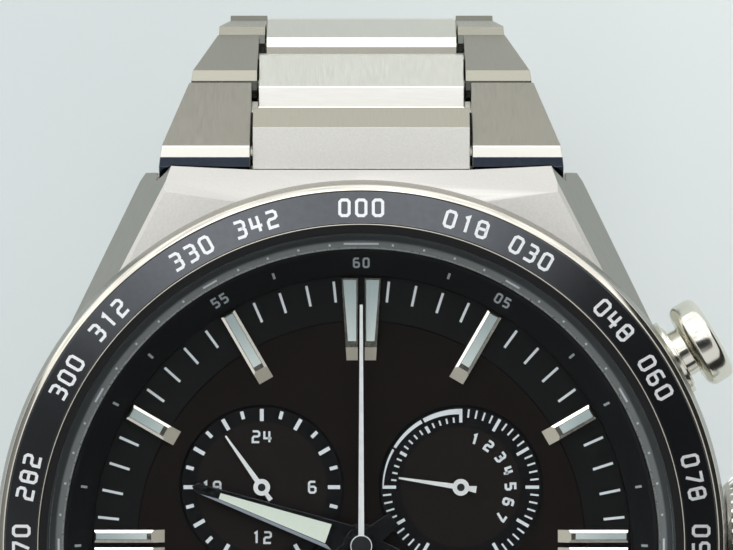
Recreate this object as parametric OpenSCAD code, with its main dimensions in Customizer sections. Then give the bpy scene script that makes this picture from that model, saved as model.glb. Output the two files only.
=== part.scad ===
// Chronograph wristwatch on a link bracelet, closed round an empty wrist and standing on its clasp.
// Millimetres. The dial axis is Z, the crown (3 o'clock) is +X and 12 o'clock is +Y.
// Z = 0 is the outer face of the clasp cover, which is what the watch rests on.

/* [Case] */
// Radius of the round part of the case
case_r = 21; // [20.6:0.1:22]
// Height of the case middle, from its lower face to the shelf under the bezel
case_h = 7; // [6.8:0.1:8]
// How far the flat ends of the case stand out past its round body
end_step = 0.8; // [0.6:0.1:1]
// Width of the case's shoulder on each side of the bracelet
shoulder = 1.1; // [1:0.1:1.6]
// Thickness of the case back's flange, below the case
back_t = 1; // [0.8:0.1:1.4]
// Lap of the case back's flange past the bore of the case
back_lap = 1.4; // [1.2:0.1:1.7]
// Drop of the sloping flank at each corner of the case
flank_drop = 2.1; // [1.5:0.1:2.6]
// Slope of the shelf's ends down to the bracelet, in degrees
end_slope = 10; // [8:0.5:11]

/* [Bezel and glass] */
// Step from the round side of the case in to the bezel rim
bezel_step = 0.35; // [0.2:0.05:0.4]
// Width of the polished bezel rim
rim_w = 0.35; // [0.3:0.05:0.5]
// Height of the bezel above the case shelf
bezel_h = 2.85; // [2.7:0.05:3.2]
// Width of the black insert
insert_w = 1.88; // [1.7:0.02:2]
// Width of the seat between the insert and the glass
seat_w = 0.56; // [0.5:0.02:0.7]
// Thickness of the glass
glass_t = 1.78; // [1.6:0.02:1.9]
// Gap from the scale ring up to the glass
glass_gap = 0.22; // [0.2:0.01:0.4]

/* [Dial] */
// Width of the silvery scale ring
scale_w = 0.86; // [0.8:0.02:1]
// Width of the black sloping ring inside it
flange_w = 1.5; // [1.2:0.1:1.7]
// Width of the dial's outer track
track_w = 2.6; // [2.4:0.1:2.8]
// Thickness of the dial plate
dial_t = 0.45; // [0.4:0.05:0.6]
// Radius of a sunk subdial at its floor, as a share of the track's inner radius
sub_share = 0.357; // [0.33:0.003:0.36]
// Depth of a subdial
sub_depth = 0.2; // [0.1:0.05:0.25]
// Distance from the dial axis to each subdial, as a share of that radius
sub_at_share = 0.512; // [0.5:0.002:0.52]
// Height of the applied hour markers
marker_h = 0.5; // [0.3:0.05:0.55]
// Width of a single hour marker
marker_w = 0.9; // [0.7:0.05:1.2]
// Length of a long hour marker
marker_len = 4.4; // [4:0.1:4.6]

/* [Hands] */
// Gap from the tip of the minute hand to the black ring
minute_gap = 0.9; // [0.5:0.1:2]
// Gap from the tip of the chronograph hand to the black ring
chrono_gap = 1.7; // [0.8:0.1:2.5]
// Gap from the tip of the hour hand to the long markers
hour_gap = 0.6; // [0.3:0.1:2]
// Gap from the tip of a small hand to the rim of its subdial
small_gap = 1; // [0.7:0.1:1.5]
// Thickness of the hour and minute hands
hand_t = 0.2; // [0.15:0.01:0.22]
// Direction of the hour hand at rest, clockwise from 12
hour_at = 289.2; // [0:0.1:360]
// Direction of the minute hand at rest
minute_at = 231; // [0:0.1:360]
// Direction of the 24 hour hand at rest
day_at = 324.8; // [0:0.1:360]
// Direction of the right small hand at rest
function_at = 278.5; // [0:0.1:360]

/* [Crown and pushers] */
// Diameter of the crown
crown_d = 7.6; // [6.5:0.1:7.8]
// Length of the crown
crown_len = 3.8; // [3.2:0.1:4.5]
// Number of flutes round the crown
crown_flutes = 36; // [30:2:48]
// Diameter of a pusher's cap
cap_d = 5.15; // [4.6:0.05:5.4]
// Thickness of a pusher's cap
cap_t = 1.7; // [1.4:0.1:2.2]
// Diameter of the pusher's stem where it shows
stem_d = 2.84; // [2.6:0.02:2.9]
// Travel of a pusher
push_travel = 0.65; // [0.4:0.05:0.65]
// Angle of each pusher from the 3 o'clock axis
push_angle = 30.5; // [28:0.5:33]

/* [Bracelet] */
// Distance from pin to pin of a link
pitch = 6.2; // [6.1:0.05:6.4]
// Half the thickness of a link
link_h = 1.7; // [1.6:0.05:1.8]
// Radius of a link pin
pin_r = 0.6; // [0.5:0.05:0.7]
// Lean of the first link below the horizontal
first_lean = 50; // [48:1:52]
// Further lean of each next link, where its inner stop meets
link_curl = 17; // [16:0.5:18]
// Half width of the bracelet at the case
width_case = 11.7; // [11:0.1:12]
// Half width after the first link
width_two = 10.05; // [9.8:0.05:10.4]
// Half width after the second link
width_three = 8.55; // [8.2:0.05:8.6]
// Half width of all other links and of the clasp
width_end = 8; // [7.8:0.05:8.2]
// Half width of the centre piece at the case
centre_case = 6.3; // [6.2:0.05:6.5]
// Half width of the first link's tongue
centre_two = 6; // [5.8:0.05:6.1]
// Half width of every other tongue
centre_end = 5.65; // [5.4:0.05:5.7]

/* [Clasp] */
// Height of the clasp bars above the rest face
bar_z = 3.6; // [3.4:0.05:3.9]
// Thickness of the clasp cover's plate
cover_t = 1; // [0.8:0.05:1]
// Thickness of the cover's side walls
cover_wall = 1.2; // [1:0.05:1.3]
// Height of the cover's side walls
cover_h = 4.2; // [4:0.05:4.4]
// Thickness of the two folding blades
blade_t = 0.6; // [0.5:0.05:0.7]
// Half width of the folding blades
blade_w = 5.2; // [4.8:0.1:5.3]

/* [Hidden] */

$fn = 96;
// Running clearance of a pin or arbor in its hole
run = 0.06;
// Clearance of a pin held fast in its hole
hold = 0.02;
// Clearance between flat faces that slide
side = 0.1;
// Extra length of a cutting tool past a face
past = 1;

// Bracelet chain
links = 7;
case_end_y = case_r + end_step;
case_end_x = width_case + shoulder;
pin0_y = case_end_y + 0.6;
pin0_up = case_h - 1.4;
function lean(i) = first_lean + i * link_curl;
function pin_y(i) = i == 0 ? pin0_y : pin_y(i - 1) + pitch * cos(lean(i - 1));
function drop(i) = i == 0 ? 0 : drop(i - 1) + pitch * sin(lean(i - 1));
pin0_z = bar_z + drop(links);
function pin_z(i) = pin0_z - drop(i);
function width_at(i) = i == 0 ? width_case : i == 1 ? width_two : i == 2 ? width_three : width_end;
function tongue_at(i) = i < 0 ? centre_case : i == 0 ? centre_two : centre_end;
// Near end of a link: a polished bevel, a darker one below it and the end face, as shares of link_h
near_end = [[-0.706, 1], [-0.953, 0.706], [-1.118, 0.412], [-1.118, -0.412], [-0.706, -1]];
// Radius round a pin that the arms' near ends keep within
arm_r = link_h * norm(near_end[0]);
// Radius of the hollow that those ends turn in
arm_hollow_r = arm_r + 0.14;
// Radius round a pin that a tongue's far end keeps within
tongue_r = link_h + 1.3;
// Radius of the hollow that a tongue's far end turns in
tongue_hollow_r = tongue_r + 0.15;
// Distance past the pin where a tongue's flat top ends
tongue_flat = 1.2;
// Turns of the last link, in degrees, at which its hollow is drawn out for the clasp's end
way_out = [0 : 6 : 24];

// Head
head_z = pin0_z - pin0_up;
case_z0 = back_t;
shelf_z = case_z0 + case_h;
bezel_r = case_r - bezel_step;
insert_r1 = bezel_r - rim_w;
insert_r0 = insert_r1 - insert_w;
glass_r = insert_r0 - seat_w;
bore_r = glass_r - 0.36;
back_r = bore_r + back_lap;
bezel_top = shelf_z + bezel_h;
ledge_z = shelf_z + 1.2;
scale_t = 0.2;
scale_top = ledge_z + scale_t;
glass_z = scale_top + glass_gap;
glass_top = glass_z + glass_t;
bezel_in_r = insert_r0 - 0.08;
insert_floor = bezel_top - 0.8;
// Where the ridge of a corner meets the crease of the shelf's end, and a second point of that ridge
ridge_x = case_end_x - 1.35;
ridge_y = case_end_y - 1.5;
ridge_in_x = case_r * 0.653;
ridge_in_y = case_r * 0.757;
ridge_turn = atan2(ridge_in_y - ridge_y, ridge_in_x - ridge_x);
// Turn of the crease, which runs in under the bezel towards the middle
crease_turn = 8;
// Width over which the flank falls by flank_drop
flank_run = 1.65;
// End of a shoulder, set back from the end of the case between the shoulders
shoulder_y = case_end_y - 0.4;
// Width and slope of the polished bevel along each ridge
ridge_w = 0.14;
ridge_slope = 26;
dial_top = shelf_z - 0.3;
dial_z = dial_top - dial_t;
dial_r = bore_r - side;
scale_r0 = glass_r - scale_w;
flange_r0 = scale_r0 - flange_w;
track_r = flange_r0 - track_w;
sub_r = track_r * sub_share;
sub_at = track_r * sub_at_share;
sub_floor = dial_top - sub_depth;
sub_angles = [150, 30, 270];
marker_r1 = flange_r0 - 0.2;

// End pieces of the bracelet at the case
seam_y = case_end_y - 0.2;
tenon_y = seam_y - 3.1;
tenon_z0 = pin0_up - 2.2;
tenon_z1 = pin0_up - 0.2;
lug_pin_y = seam_y - 2.1;
lug_pin_z = pin0_up - 1.4;
lug_pin_len = 18;

// Movement
cell_t = 0.25;
cell_z = dial_z - cell_t;
plate_r = bore_r - 3.4;
boss_z = cell_z - 0.12;
date_t = 0.3;
date_z = boss_z - date_t - 0.03;
plate_z1 = date_z - 0.05;
plate_z0 = case_z0 + 0.486 * case_h;
stem_z = plate_z0 + 0.5;
date_r0 = plate_r - 4.5;
date_r1 = plate_r - 0.7;
window_r = plate_r - 2.9;
window_angle = -45;
arbor_r = 0.22;
hour_tube_r = 0.9;
minute_tube_r = 0.58;
chrono_arbor_r = 0.3;
bridge_z = plate_z0 - 1.8;
bridge_t = 0.5;
hub_r = sub_at * 0.6;
pillar_r = 0.4;
// Radii of the wheels, as shares of the distance between the centre and a subdial
small_wheel_r = sub_at * 0.41;
chrono_wheel_r = sub_at * 0.333;
minute_wheel_r = sub_at * 0.44;
hour_wheel_r = sub_at * 0.48;
hour_wheel_z = plate_z1 - 0.15;
minute_len = flange_r0 - minute_gap;
chrono_len = flange_r0 - chrono_gap;
hour_len = marker_r1 - marker_len - hour_gap;
small_len = sub_r - small_gap;
hour_hand_z = dial_top + 0.28;
minute_hand_z = hour_hand_z + 0.4;
chrono_hand_z = minute_hand_z + 0.4;
small_hand_z = sub_floor + 0.14;

// Crown
crown_x = case_r + 0.05;
crown_flat_x = case_r - 0.05;
crown_tube_r = 1.4;
crown_tube_in = bore_r + 0.4;
crown_tube_out = crown_x + 0.45;
crown_post_r = 0.95;
crown_stem_r = 0.5;
crown_post_x = bore_r + 0.9;
stem_in_x = plate_r - 5.1;
lever_x = plate_r - 2.05;

// Pushers, measured outward along each pusher from the dial axis
tube_out = case_r + 0.35;
cap_in = tube_out + push_travel + 0.05;
tube_in = bore_r + 0.1;
tube_floor = tube_in + 0.35;
tube_r = stem_d / 2 + 0.48;
tube_flange_r = tube_r + 0.4;
tube_flange_at = case_r - 0.05;
stem_end = tube_floor + 2.5;
thin_stem_r = 0.6;
thin_stem_in = tube_in - 2.2;
clip_r = 1.2;

// Clasp
clasp_y = pin_y(links);
fold_y = clasp_y - 2.8;
fold_z = cover_t + 1;
fold_r = 0.9;
knuckle_y = clasp_y - 3.4;
knuckle_z = bar_z - 0.75;
knuckle_r = 1.1;
knuckle_w = 2.4;
blade_pin_r = 0.5;
inner_z = bar_z - 0.3;
middle_z = cover_t + 0.5;
cover_in = width_end - cover_wall;
// Where the cover's plate ends between its two lugs, so that the last tongue can swing out
fork_y = clasp_y - 1.5;
lug_in = centre_end + 0.2;
button_y = clasp_y - 7.5;
button_z = cover_h - 1.6;
button_w = 3.2;
button_h = 1.6;
button_out = 0.7;

// Lay a profile drawn in (y, z) across the bracelet, from -half to +half in x
module across(half) {
    rotate([90, 0, 90])
    linear_extrude(height = 2 * half, center = true)
    children();
}

// The same, between x0 and x1 on both sides
module across_pair(x0, x1) {
    for (s = [0, 1])
        mirror([s, 0, 0])
        translate([x0, 0, 0])
        rotate([90, 0, 90])
        linear_extrude(height = x1 - x0)
        children();
}

// A cylinder along x, centred on the bracelet's middle
module bar(r, half) {
    rotate([0, 90, 0]) cylinder(r = r, h = 2 * half, center = true, $fn = 48);
}

module at_head() {
    translate([0, 0, head_z]) children();
}

// A ring drawn by its radii and heights
module ring(r0, r1, z0, z1) {
    translate([0, 0, z0])
    difference() {
        cylinder(r = r1, h = z1 - z0);
        translate([0, 0, -past]) cylinder(r = r0, h = z1 - z0 + 2 * past);
    }
}

// Turn a child drawn along +Y to a clock direction, in degrees clockwise from 12
module clock(a) {
    rotate([0, 0, -a]) children();
}

// Place a child drawn along +X along a pusher's axis
module along_pusher(a) {
    rotate([0, 0, a]) translate([0, 0, stem_z]) rotate([0, 90, 0]) children();
}

// Outline of one corner of the case, from its end round to where its straight side meets the round body
meet_r = case_r - 0.03;
meet_turn = 36;
corner_plan = [[width_case - side, case_end_y], [width_case, shoulder_y], [case_end_x - 0.35, shoulder_y],
    [case_end_x, shoulder_y - 0.5], [meet_r * cos(meet_turn), meet_r * sin(meet_turn)]];

// Points of an outline in the opposite order, mirrored in X or in Y
function back_over(points, sx, sy) =
    [for (k = [len(points) - 1 : -1 : 0]) [sx * points[k][0], sy * points[k][1]]];

// Block of the case before it is cut: a round body with four straight corners
module case_block() {
    right = concat(corner_plan, back_over(corner_plan, 1, -1));
    left = back_over(right, -1, 1);
    translate([0, 0, case_z0]) {
        cylinder(r = case_r, h = case_h, $fn = 180);
        linear_extrude(height = case_h) polygon(concat(right, left));
    }
}

// Side view of the case: its underside is flat as far as foot and rises from there to reach
module case_view(foot, reach) {
    rise_z = case_z0 + 2.4;
    polygon([[-foot, case_z0], [foot, case_z0], [reach, rise_z], [reach, shelf_z], [-reach, shelf_z],
        [-reach, rise_z]]);
}

// Tool that slopes the case away outside a line on the shelf, turned by turn and moved in by inset. The line
// goes through the point where ridge and crease meet.
module slope_tool(turn, slope, inset) {
    translate([ridge_x, ridge_y, shelf_z])
    rotate([0, 0, turn])
    translate([0, -inset, 0])
    rotate([-slope, 0, 0])
    translate([-case_r, 0, 0])
    cube([2 * case_r, case_r, case_r]);
}

// Tool of the shelf's end on one side of the middle. It leaves the round seat of the bezel standing.
module end_tool() {
    difference() {
        intersection() {
            slope_tool(crease_turn, end_slope, 0);
            translate([0, 0, case_z0]) cube([case_r + 5, case_r + 5, case_h + past]);
        }
        cylinder(r = case_r - 0.1, h = shelf_z, $fn = 180);
    }
}

module case_middle() {
    color("#c9c7c0")
    at_head()
    difference() {
        intersection() {
            case_block();
            across(case_r + 2 * past) case_view(case_end_y - 6.8, case_end_y + past);
            rotate([90, 0, 0])
            linear_extrude(height = 2 * case_end_y + 4 * past, center = true)
            case_view(case_r - 2, case_r + past);
        }
        translate([0, 0, case_z0 - past]) cylinder(r = bore_r, h = case_h + 2 * past, $fn = 180);
        for (sx = [0, 1], sy = [0, 1])
            mirror([sx, 0, 0]) mirror([0, sy, 0]) {
                slope_tool(ridge_turn, atan(flank_drop / flank_run), 0);
                slope_tool(ridge_turn, ridge_slope, ridge_w);
                end_tool();
                translate([centre_case, pin0_y, pin0_up])
                rotate([0, 90, 0])
                cylinder(r = arm_hollow_r, h = width_case + side - centre_case, $fn = 48);
            }
        for (sy = [0, 1])
            mirror([0, sy, 0]) {
                translate([-centre_case, seam_y - 0.05, 0])
                cube([2 * centre_case, 5, shelf_z + past]);
                translate([-centre_case, tenon_y - 0.05, tenon_z0 - 0.05])
                cube([2 * centre_case, 5, tenon_z1 - tenon_z0 + 0.1]);
                translate([0, lug_pin_y, lug_pin_z]) bar(pin_r + hold, lug_pin_len / 2 + side);
            }
        // Flat behind the crown and the holes of the three tubes
        translate([crown_flat_x, -crown_d / 2 - 0.6, 0])
        cube([5, crown_d + 1.2, shelf_z + past]);
        translate([0, 0, stem_z])
        rotate([0, 90, 0])
        cylinder(r = crown_tube_r + hold, h = case_r + past, $fn = 48);
        for (a = [push_angle, -push_angle])
            along_pusher(a) {
                cylinder(r = tube_r + hold, h = case_r + 3, $fn = 48);
                translate([0, 0, tube_flange_at]) cylinder(r = tube_flange_r + 0.3, h = 5);
            }
    }
}

module bezel_ring() {
    color("#d8d8d6")
    at_head()
    rotate_extrude($fn = 180)
    polygon([[bore_r, shelf_z], [case_r - 0.05, shelf_z], [case_r - 0.05, shelf_z + 0.6],
        [bezel_r, bezel_top - rim_w + 0.05], [insert_r1 + 0.05, bezel_top], [insert_r1, bezel_top],
        [insert_r1, insert_floor], [insert_r0, insert_floor], [insert_r0, bezel_top + 0.15],
        [bezel_in_r, bezel_top + 0.15], [bezel_in_r, scale_top + 0.02],
        [glass_r + 0.06, scale_top + 0.02], [glass_r + 0.06, ledge_z], [bore_r, ledge_z]]);
}

module bezel_insert() {
    gap = 0.02;
    color("#141416")
    at_head()
    rotate_extrude($fn = 180)
    polygon([[insert_r0 + gap, insert_floor], [insert_r1 - gap, insert_floor],
        [insert_r1 - gap, bezel_top - 0.06], [insert_r1 - 0.08, bezel_top - 0.02],
        [insert_r0 + 0.06, bezel_top + 0.12], [insert_r0 + gap, bezel_top + 0.08]]);
}

module crystal() {
    bevel = 0.15;
    color("#dfeaf0", 0.3)
    at_head()
    rotate_extrude($fn = 180)
    polygon([[0, glass_z], [glass_r, glass_z], [glass_r, glass_top - bevel],
        [glass_r - bevel, glass_top], [0, glass_top]]);
}

module crystal_gasket() {
    color("#101010")
    at_head()
    ring(glass_r + hold, bezel_in_r - hold, scale_top + 0.04, bezel_top + 0.1, $fn = 180);
}

module scale_ring() {
    color("#aeb2b4")
    at_head()
    ring(scale_r0, glass_r, ledge_z, scale_top, $fn = 180);
}

// Black ring that slopes up from the dial to the scale ring
module flange_ring() {
    rim = bore_r - 0.05;
    color("#1a1a1c")
    at_head()
    rotate_extrude($fn = 180)
    polygon([[flange_r0, dial_top], [rim, dial_top], [rim, ledge_z], [scale_r0 - 0.1, ledge_z],
        [scale_r0 - 0.25, ledge_z - 0.1], [flange_r0, dial_top + 0.25]]);
}

// Tool of the date window, through the dial and the solar cell
module window_tool(z, h, grow) {
    rotate([0, 0, window_angle])
    translate([window_r - 1.2 - grow, -0.9 - grow, z])
    cube([2.4 + 2 * grow, 1.8 + 2 * grow, h]);
}

module dial_plate() {
    color("#2a1c1a")
    at_head()
    difference() {
        rotate_extrude($fn = 180)
        polygon([[1.15, dial_z], [dial_r, dial_z], [dial_r, dial_top], [track_r, dial_top],
            [track_r - 0.06, dial_top - 0.06], [1.15, dial_top - 0.06]]);
        for (a = sub_angles)
            rotate([0, 0, a])
            translate([sub_at, 0, 0]) {
                translate([0, 0, sub_floor]) cylinder(r1 = sub_r, r2 = sub_r + sub_depth, h = sub_depth);
                translate([0, 0, dial_z - past]) cylinder(r = arbor_r + 0.12, h = 2 * past, $fn = 24);
            }
        window_tool(dial_z - past, 3, 0);
    }
}

// Width and fall of the polished slopes along a marker's sides, and the flat rim left inside them
marker_slope = 0.16;
marker_fall = 0.09;
marker_rim = 0.02;
// Depth of the pocket for the filling
pocket = 0.22;

// One applied bar from radius r0 to r1, sloped along its sides and at its inner end
module marker_bar(r0, r1, w, dx) {
    translate([dx, 0, dial_top])
    intersection() {
        rotate([90, 0, 90])
        linear_extrude(height = w, center = true)
        polygon([[r0, 0], [r1, 0], [r1, marker_h - 0.06], [r1 - 0.06, marker_h],
            [r0 + 0.75, marker_h]]);
        rotate([-90, 0, 0])
        linear_extrude(height = r1)
        polygon([[-w / 2, 0], [w / 2, 0], [w / 2, marker_fall - marker_h],
            [w / 2 - marker_slope, -marker_h], [marker_slope - w / 2, -marker_h],
            [-w / 2, marker_fall - marker_h]]);
    }
}

// The pocket of that bar, or with a gap the filling that lies in it
module marker_fill(r0, r1, w, dx, gap, h) {
    wall = marker_slope + marker_rim + gap;
    translate([dx - w / 2 + wall, r0 + 1 + gap, dial_top + marker_h - pocket + gap])
    cube([w - 2 * wall, r1 - r0 - 1 - marker_rim - 0.07 - 2 * gap, h]);
}

// Clock directions, inner and outer radii, widths and side shifts of all bars but those at 12
marker_r0 = marker_r1 - marker_len;
short_r0 = marker_r1 - marker_len * 0.7;
markers = [for (h = [1, 4, 5, 7, 8, 11]) [30 * h, marker_r0, marker_r1, marker_w, 0],
    for (h = [2, 10]) [30 * h, short_r0, marker_r1, marker_w, 0],
    for (h = [3, 9], s = [-1, 1])
        [30 * h, marker_r1 - marker_len * 0.91, marker_r1, marker_w * 0.8, marker_w * 0.56 * s],
    for (s = [-1, 1]) [180, short_r0, marker_r1, marker_w * 0.8, marker_w * 0.56 * s]];
wedge_r0 = marker_r0 - 0.3;

// Half of the double wedge at 12, as an outline seen from above, drawn in by wall
module wedge_plan(wall, inner) {
    outer = marker_r1 - wall;
    polygon([[0.2 + wall, inner], [0.2 + wall, outer], [marker_w * 1.25 - wall, outer],
        [marker_w * 0.94 - wall, inner]]);
}

module hour_markers() {
    color("#d9dcde")
    at_head()
    difference() {
        union() {
            for (m = markers)
                clock(m[0]) marker_bar(m[1], m[2], m[3], m[4]);
            for (s = [0, 1])
                mirror([s, 0, 0])
                intersection() {
                    translate([0, 0, dial_top]) linear_extrude(height = 1) wedge_plan(0, wedge_r0);
                    rotate([90, 0, 90])
                    linear_extrude(height = 2 * marker_w)
                    translate([0, dial_top])
                    polygon([[wedge_r0, 0], [marker_r1, 0], [marker_r1, marker_h],
                        [wedge_r0 + 0.75, marker_h]]);
                }
        }
        for (m = markers)
            clock(m[0]) marker_fill(m[1], m[2], m[3], m[4], 0, 1);
        for (s = [0, 1])
            mirror([s, 0, 0])
            translate([0, 0, dial_top + marker_h - pocket])
            linear_extrude(height = 1)
            wedge_plan(0.08, wedge_r0 + 1.1);
    }
}

module marker_lume() {
    gap = 0.01;
    color("#cfe0de")
    at_head() {
        for (m = markers)
            clock(m[0]) marker_fill(m[1], m[2], m[3], m[4], gap, pocket - 0.02);
        for (s = [0, 1])
            mirror([s, 0, 0])
            translate([0, 0, dial_top + marker_h - pocket + gap])
            linear_extrude(height = pocket - 0.02)
            wedge_plan(0.08 + gap, wedge_r0 + 1.1 + gap);
    }
}

module solar_cell() {
    color("#241518")
    at_head()
    difference() {
        ring(hour_tube_r + 0.4, dial_r - 0.6, cell_z, dial_z);
        for (a = sub_angles)
            rotate([0, 0, a])
            translate([sub_at, 0, cell_z - past])
            cylinder(r = 0.6, h = 2 * past + cell_t, $fn = 24);
        window_tool(cell_z - past, 3, 0.2);
    }
}

module date_ring() {
    color("#f2f2ee")
    at_head()
    ring(date_r0, date_r1, date_z, date_z + date_t);
}

// Plastic spacer between the movement and the case, with a way for each stem
module movement_ring() {
    color("#8d9094")
    at_head()
    difference() {
        ring(plate_r + 0.05, bore_r - side, case_z0 + 1.4, cell_z - 0.05);
        translate([0, 0, stem_z]) rotate([0, 90, 0]) cylinder(r = 1.5, h = case_r);
        for (a = [push_angle, -push_angle])
            along_pusher(a) cylinder(r = clip_r + 0.3, h = case_r, $fn = 48);
    }
}

module main_plate() {
    color("#b9b3a2")
    at_head()
    difference() {
        union() {
            translate([0, 0, plate_z0]) cylinder(r = plate_r, h = plate_z1 - plate_z0);
            translate([0, 0, plate_z0]) cylinder(r = date_r0 - run, h = boss_z - plate_z0);
        }
        translate([0, 0, hour_wheel_z - 0.15]) cylinder(r = hour_wheel_r + 0.5, h = 2);
        translate([0, 0, plate_z0 - past]) cylinder(r = minute_tube_r + run, h = 6, $fn = 32);
        for (a = sub_angles)
            rotate([0, 0, a])
            translate([sub_at, 0, plate_z0 - past])
            cylinder(r = arbor_r + run, h = 6, $fn = 24);
        translate([lever_x - 1.25, -2.2, plate_z0 - past]) cube([5, 4.4, past + 1.3]);
        translate([0, 0, stem_z])
        rotate([0, 90, 0])
        translate([0, 0, stem_in_x - 0.3])
        cylinder(r = crown_stem_r + run, h = 9, $fn = 32);
    }
}

// Bridge under the train: a hub, three lobes and the pillars that reach the main plate
module train_bridge() {
    color("#cbbf9f")
    at_head()
    difference() {
        union() {
            translate([0, 0, bridge_z]) cylinder(r = hub_r, h = bridge_t);
            for (a = sub_angles) {
                rotate([0, 0, a]) {
                    translate([sub_at, 0, bridge_z]) cylinder(r = sub_at / 3, h = bridge_t);
                    translate([0, -1.4, bridge_z]) cube([sub_at, 2.8, bridge_t]);
                }
                rotate([0, 0, a + 60])
                translate([hub_r - pillar_r - side, 0, bridge_z])
                cylinder(r = pillar_r, h = plate_z0 - bridge_z, $fn = 24);
            }
        }
        translate([0, 0, bridge_z - past]) cylinder(r = chrono_arbor_r + run, h = 3, $fn = 24);
        for (a = sub_angles)
            rotate([0, 0, a])
            translate([sub_at, 0, bridge_z - past])
            cylinder(r = arbor_r + run, h = 3, $fn = 24);
    }
}

// Power cell, set beside the train
cell_at = plate_r * [-0.546, -0.316];
cell_r = plate_r * 0.337;
cell_low = plate_z0 - 2.2;
board_t = 0.3;
board_z = cell_low - board_t;

module circuit_board() {
    board_w = 4.7;
    r0 = plate_r - 0.2 - board_w;
    color("#2f5f3a")
    at_head()
    difference() {
        ring(r0, plate_r - 0.2, board_z, board_z + board_t);
        translate([cell_at[0], cell_at[1], 0]) cylinder(r = cell_r + 0.3, h = plate_z0);
        translate([-r0, -2 * plate_r, 0]) cube([2 * r0, plate_r + 3.7, plate_z0]);
    }
}

module power_cell() {
    color("#c4c6c8")
    at_head()
    translate([cell_at[0], cell_at[1], cell_low]) {
        cylinder(r = cell_r, h = 1.7);
        translate([0, 0, 1.7]) cylinder(r = cell_r - 0.5, h = 0.4);
    }
}

// Three stepping motors: a core with its wound coil, fixed below the main plate
module motor_coils() {
    core_low = board_z + board_t + side;
    color("#b5632e")
    at_head()
    for (a = [0, 62, 118])
        rotate([0, 0, a])
        translate([plate_r * 0.773, 0, 0]) {
            translate([-0.4, -plate_r * 0.227, core_low])
            cube([0.8, plate_r * 0.454, plate_z0 - core_low]);
            translate([0, 0, plate_z0 - 1.1])
            rotate([90, 0, 0])
            cylinder(r = 0.95, h = plate_r * 0.312, center = true, $fn = 32);
        }
}

// Receiving antenna: a flat ferrite bar with its coil
module antenna() {
    half = plate_r * 0.383;
    at_y = plate_r * 0.826;
    color("#5a5a60")
    at_head() {
        translate([-half, -at_y - 0.85, plate_z0 - 1.9]) cube([2 * half, 1.7, 1.9]);
        translate([0, -at_y, plate_z0 - 1.05]) cube([1.2 * half, 2.1, 2.05], center = true);
    }
}

// Seal of the case back, in a groove between its lap and its skirt
seal_r0 = bore_r + 0.2;
seal_r1 = bore_r + 0.9;
seal_t = 0.4;

module case_back() {
    skirt_r = bore_r - 1.3;
    color("#bfbfba")
    at_head()
    difference() {
        rotate_extrude($fn = 180)
        polygon([[0, 0], [back_r - 0.5, 0], [back_r, 0.4], [back_r, back_t],
            [seal_r1 + 0.05, back_t], [seal_r1 + 0.05, back_t - seal_t - hold],
            [seal_r0 - 0.05, back_t - seal_t - hold], [seal_r0 - 0.05, back_t],
            [bore_r - 0.05, back_t], [bore_r - 0.05, back_t + 1.2], [skirt_r, back_t + 1.2],
            [skirt_r, back_t + 0.3], [0, back_t + 0.3]]);
        for (k = [0 : 5])
            rotate([0, 0, 60 * k])
            translate([back_r - 2.5, -1.4, -past])
            cube([1.4, 2.8, past + 0.4]);
    }
}

module case_back_gasket() {
    color("#111111")
    at_head()
    ring(seal_r0, seal_r1, back_t - seal_t, back_t, $fn = 180);
}

// Centre piece at the case: a tongue for the first link, tenoned into the case
module end_link() {
    half = centre_case - 0.05;
    color("#cfcdc6")
    at_head()
    difference() {
        union() {
            across(half)
            polygon([[seam_y, pin0_up + link_h], [pin0_y + 1.6, pin0_up + link_h],
                [pin0_y + 2.75, pin0_up + 0.95], [pin0_y + 2.8, pin0_up - 0.3],
                [pin0_y + 2, pin0_up - link_h], [seam_y, pin0_up - link_h]]);
            across(half)
            polygon([[tenon_y, tenon_z0], [seam_y + 0.5, tenon_z0 + 0.5],
                [seam_y + 0.5, tenon_z1], [tenon_y, tenon_z1]]);
        }
        translate([0, pin0_y, pin0_up]) bar(pin_r + run, case_r);
        translate([0, lug_pin_y, lug_pin_z]) bar(pin_r + hold, case_r);
    }
}

module end_link_12() {
    end_link();
}

module end_link_6() {
    mirror([0, 1, 0]) end_link();
}

module lug_pins() {
    color("#a9a9a6")
    at_head()
    for (s = [0, 1])
        mirror([0, s, 0]) translate([0, lug_pin_y, lug_pin_z]) bar(pin_r, lug_pin_len / 2);
}

module crown_tube() {
    color("#b8b8b4")
    at_head()
    translate([crown_tube_in, 0, stem_z])
    rotate([0, 90, 0])
    difference() {
        cylinder(r = crown_tube_r, h = crown_tube_out - crown_tube_in, $fn = 48);
        translate([0, 0, -past]) cylinder(r = crown_post_r + run, h = case_r, $fn = 48);
    }
}

module pusher_tubes() {
    color("#c4c4c0")
    at_head()
    for (a = [push_angle, -push_angle])
        along_pusher(a)
        difference() {
            union() {
                translate([0, 0, tube_in]) cylinder(r = tube_r, h = tube_out - tube_in, $fn = 48);
                translate([0, 0, tube_flange_at])
                cylinder(r = tube_flange_r, h = tube_out - tube_flange_at - 0.12, $fn = 64);
            }
            translate([0, 0, tube_floor]) cylinder(r = stem_d / 2 + run, h = 8, $fn = 48);
            translate([0, 0, tube_in - past]) cylinder(r = thin_stem_r + run, h = 4, $fn = 32);
        }
}

// Rings that keep water out of the crown and pusher tubes
module tube_seals() {
    color("#161616")
    at_head() {
        translate([crown_tube_out, 0, stem_z])
        rotate([0, 90, 0])
        difference() {
            cylinder(r = crown_tube_r, h = 0.3, $fn = 48);
            cylinder(r = crown_post_r + run, h = 2, center = true, $fn = 48);
        }
        for (a = [push_angle, -push_angle])
            along_pusher(a)
            translate([0, 0, tube_in - 0.3])
            difference() {
                cylinder(r = 1, h = 0.25, $fn = 32);
                translate([0, 0, -past]) cylinder(r = thin_stem_r + run, h = 3, $fn = 32);
            }
    }
}

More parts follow.
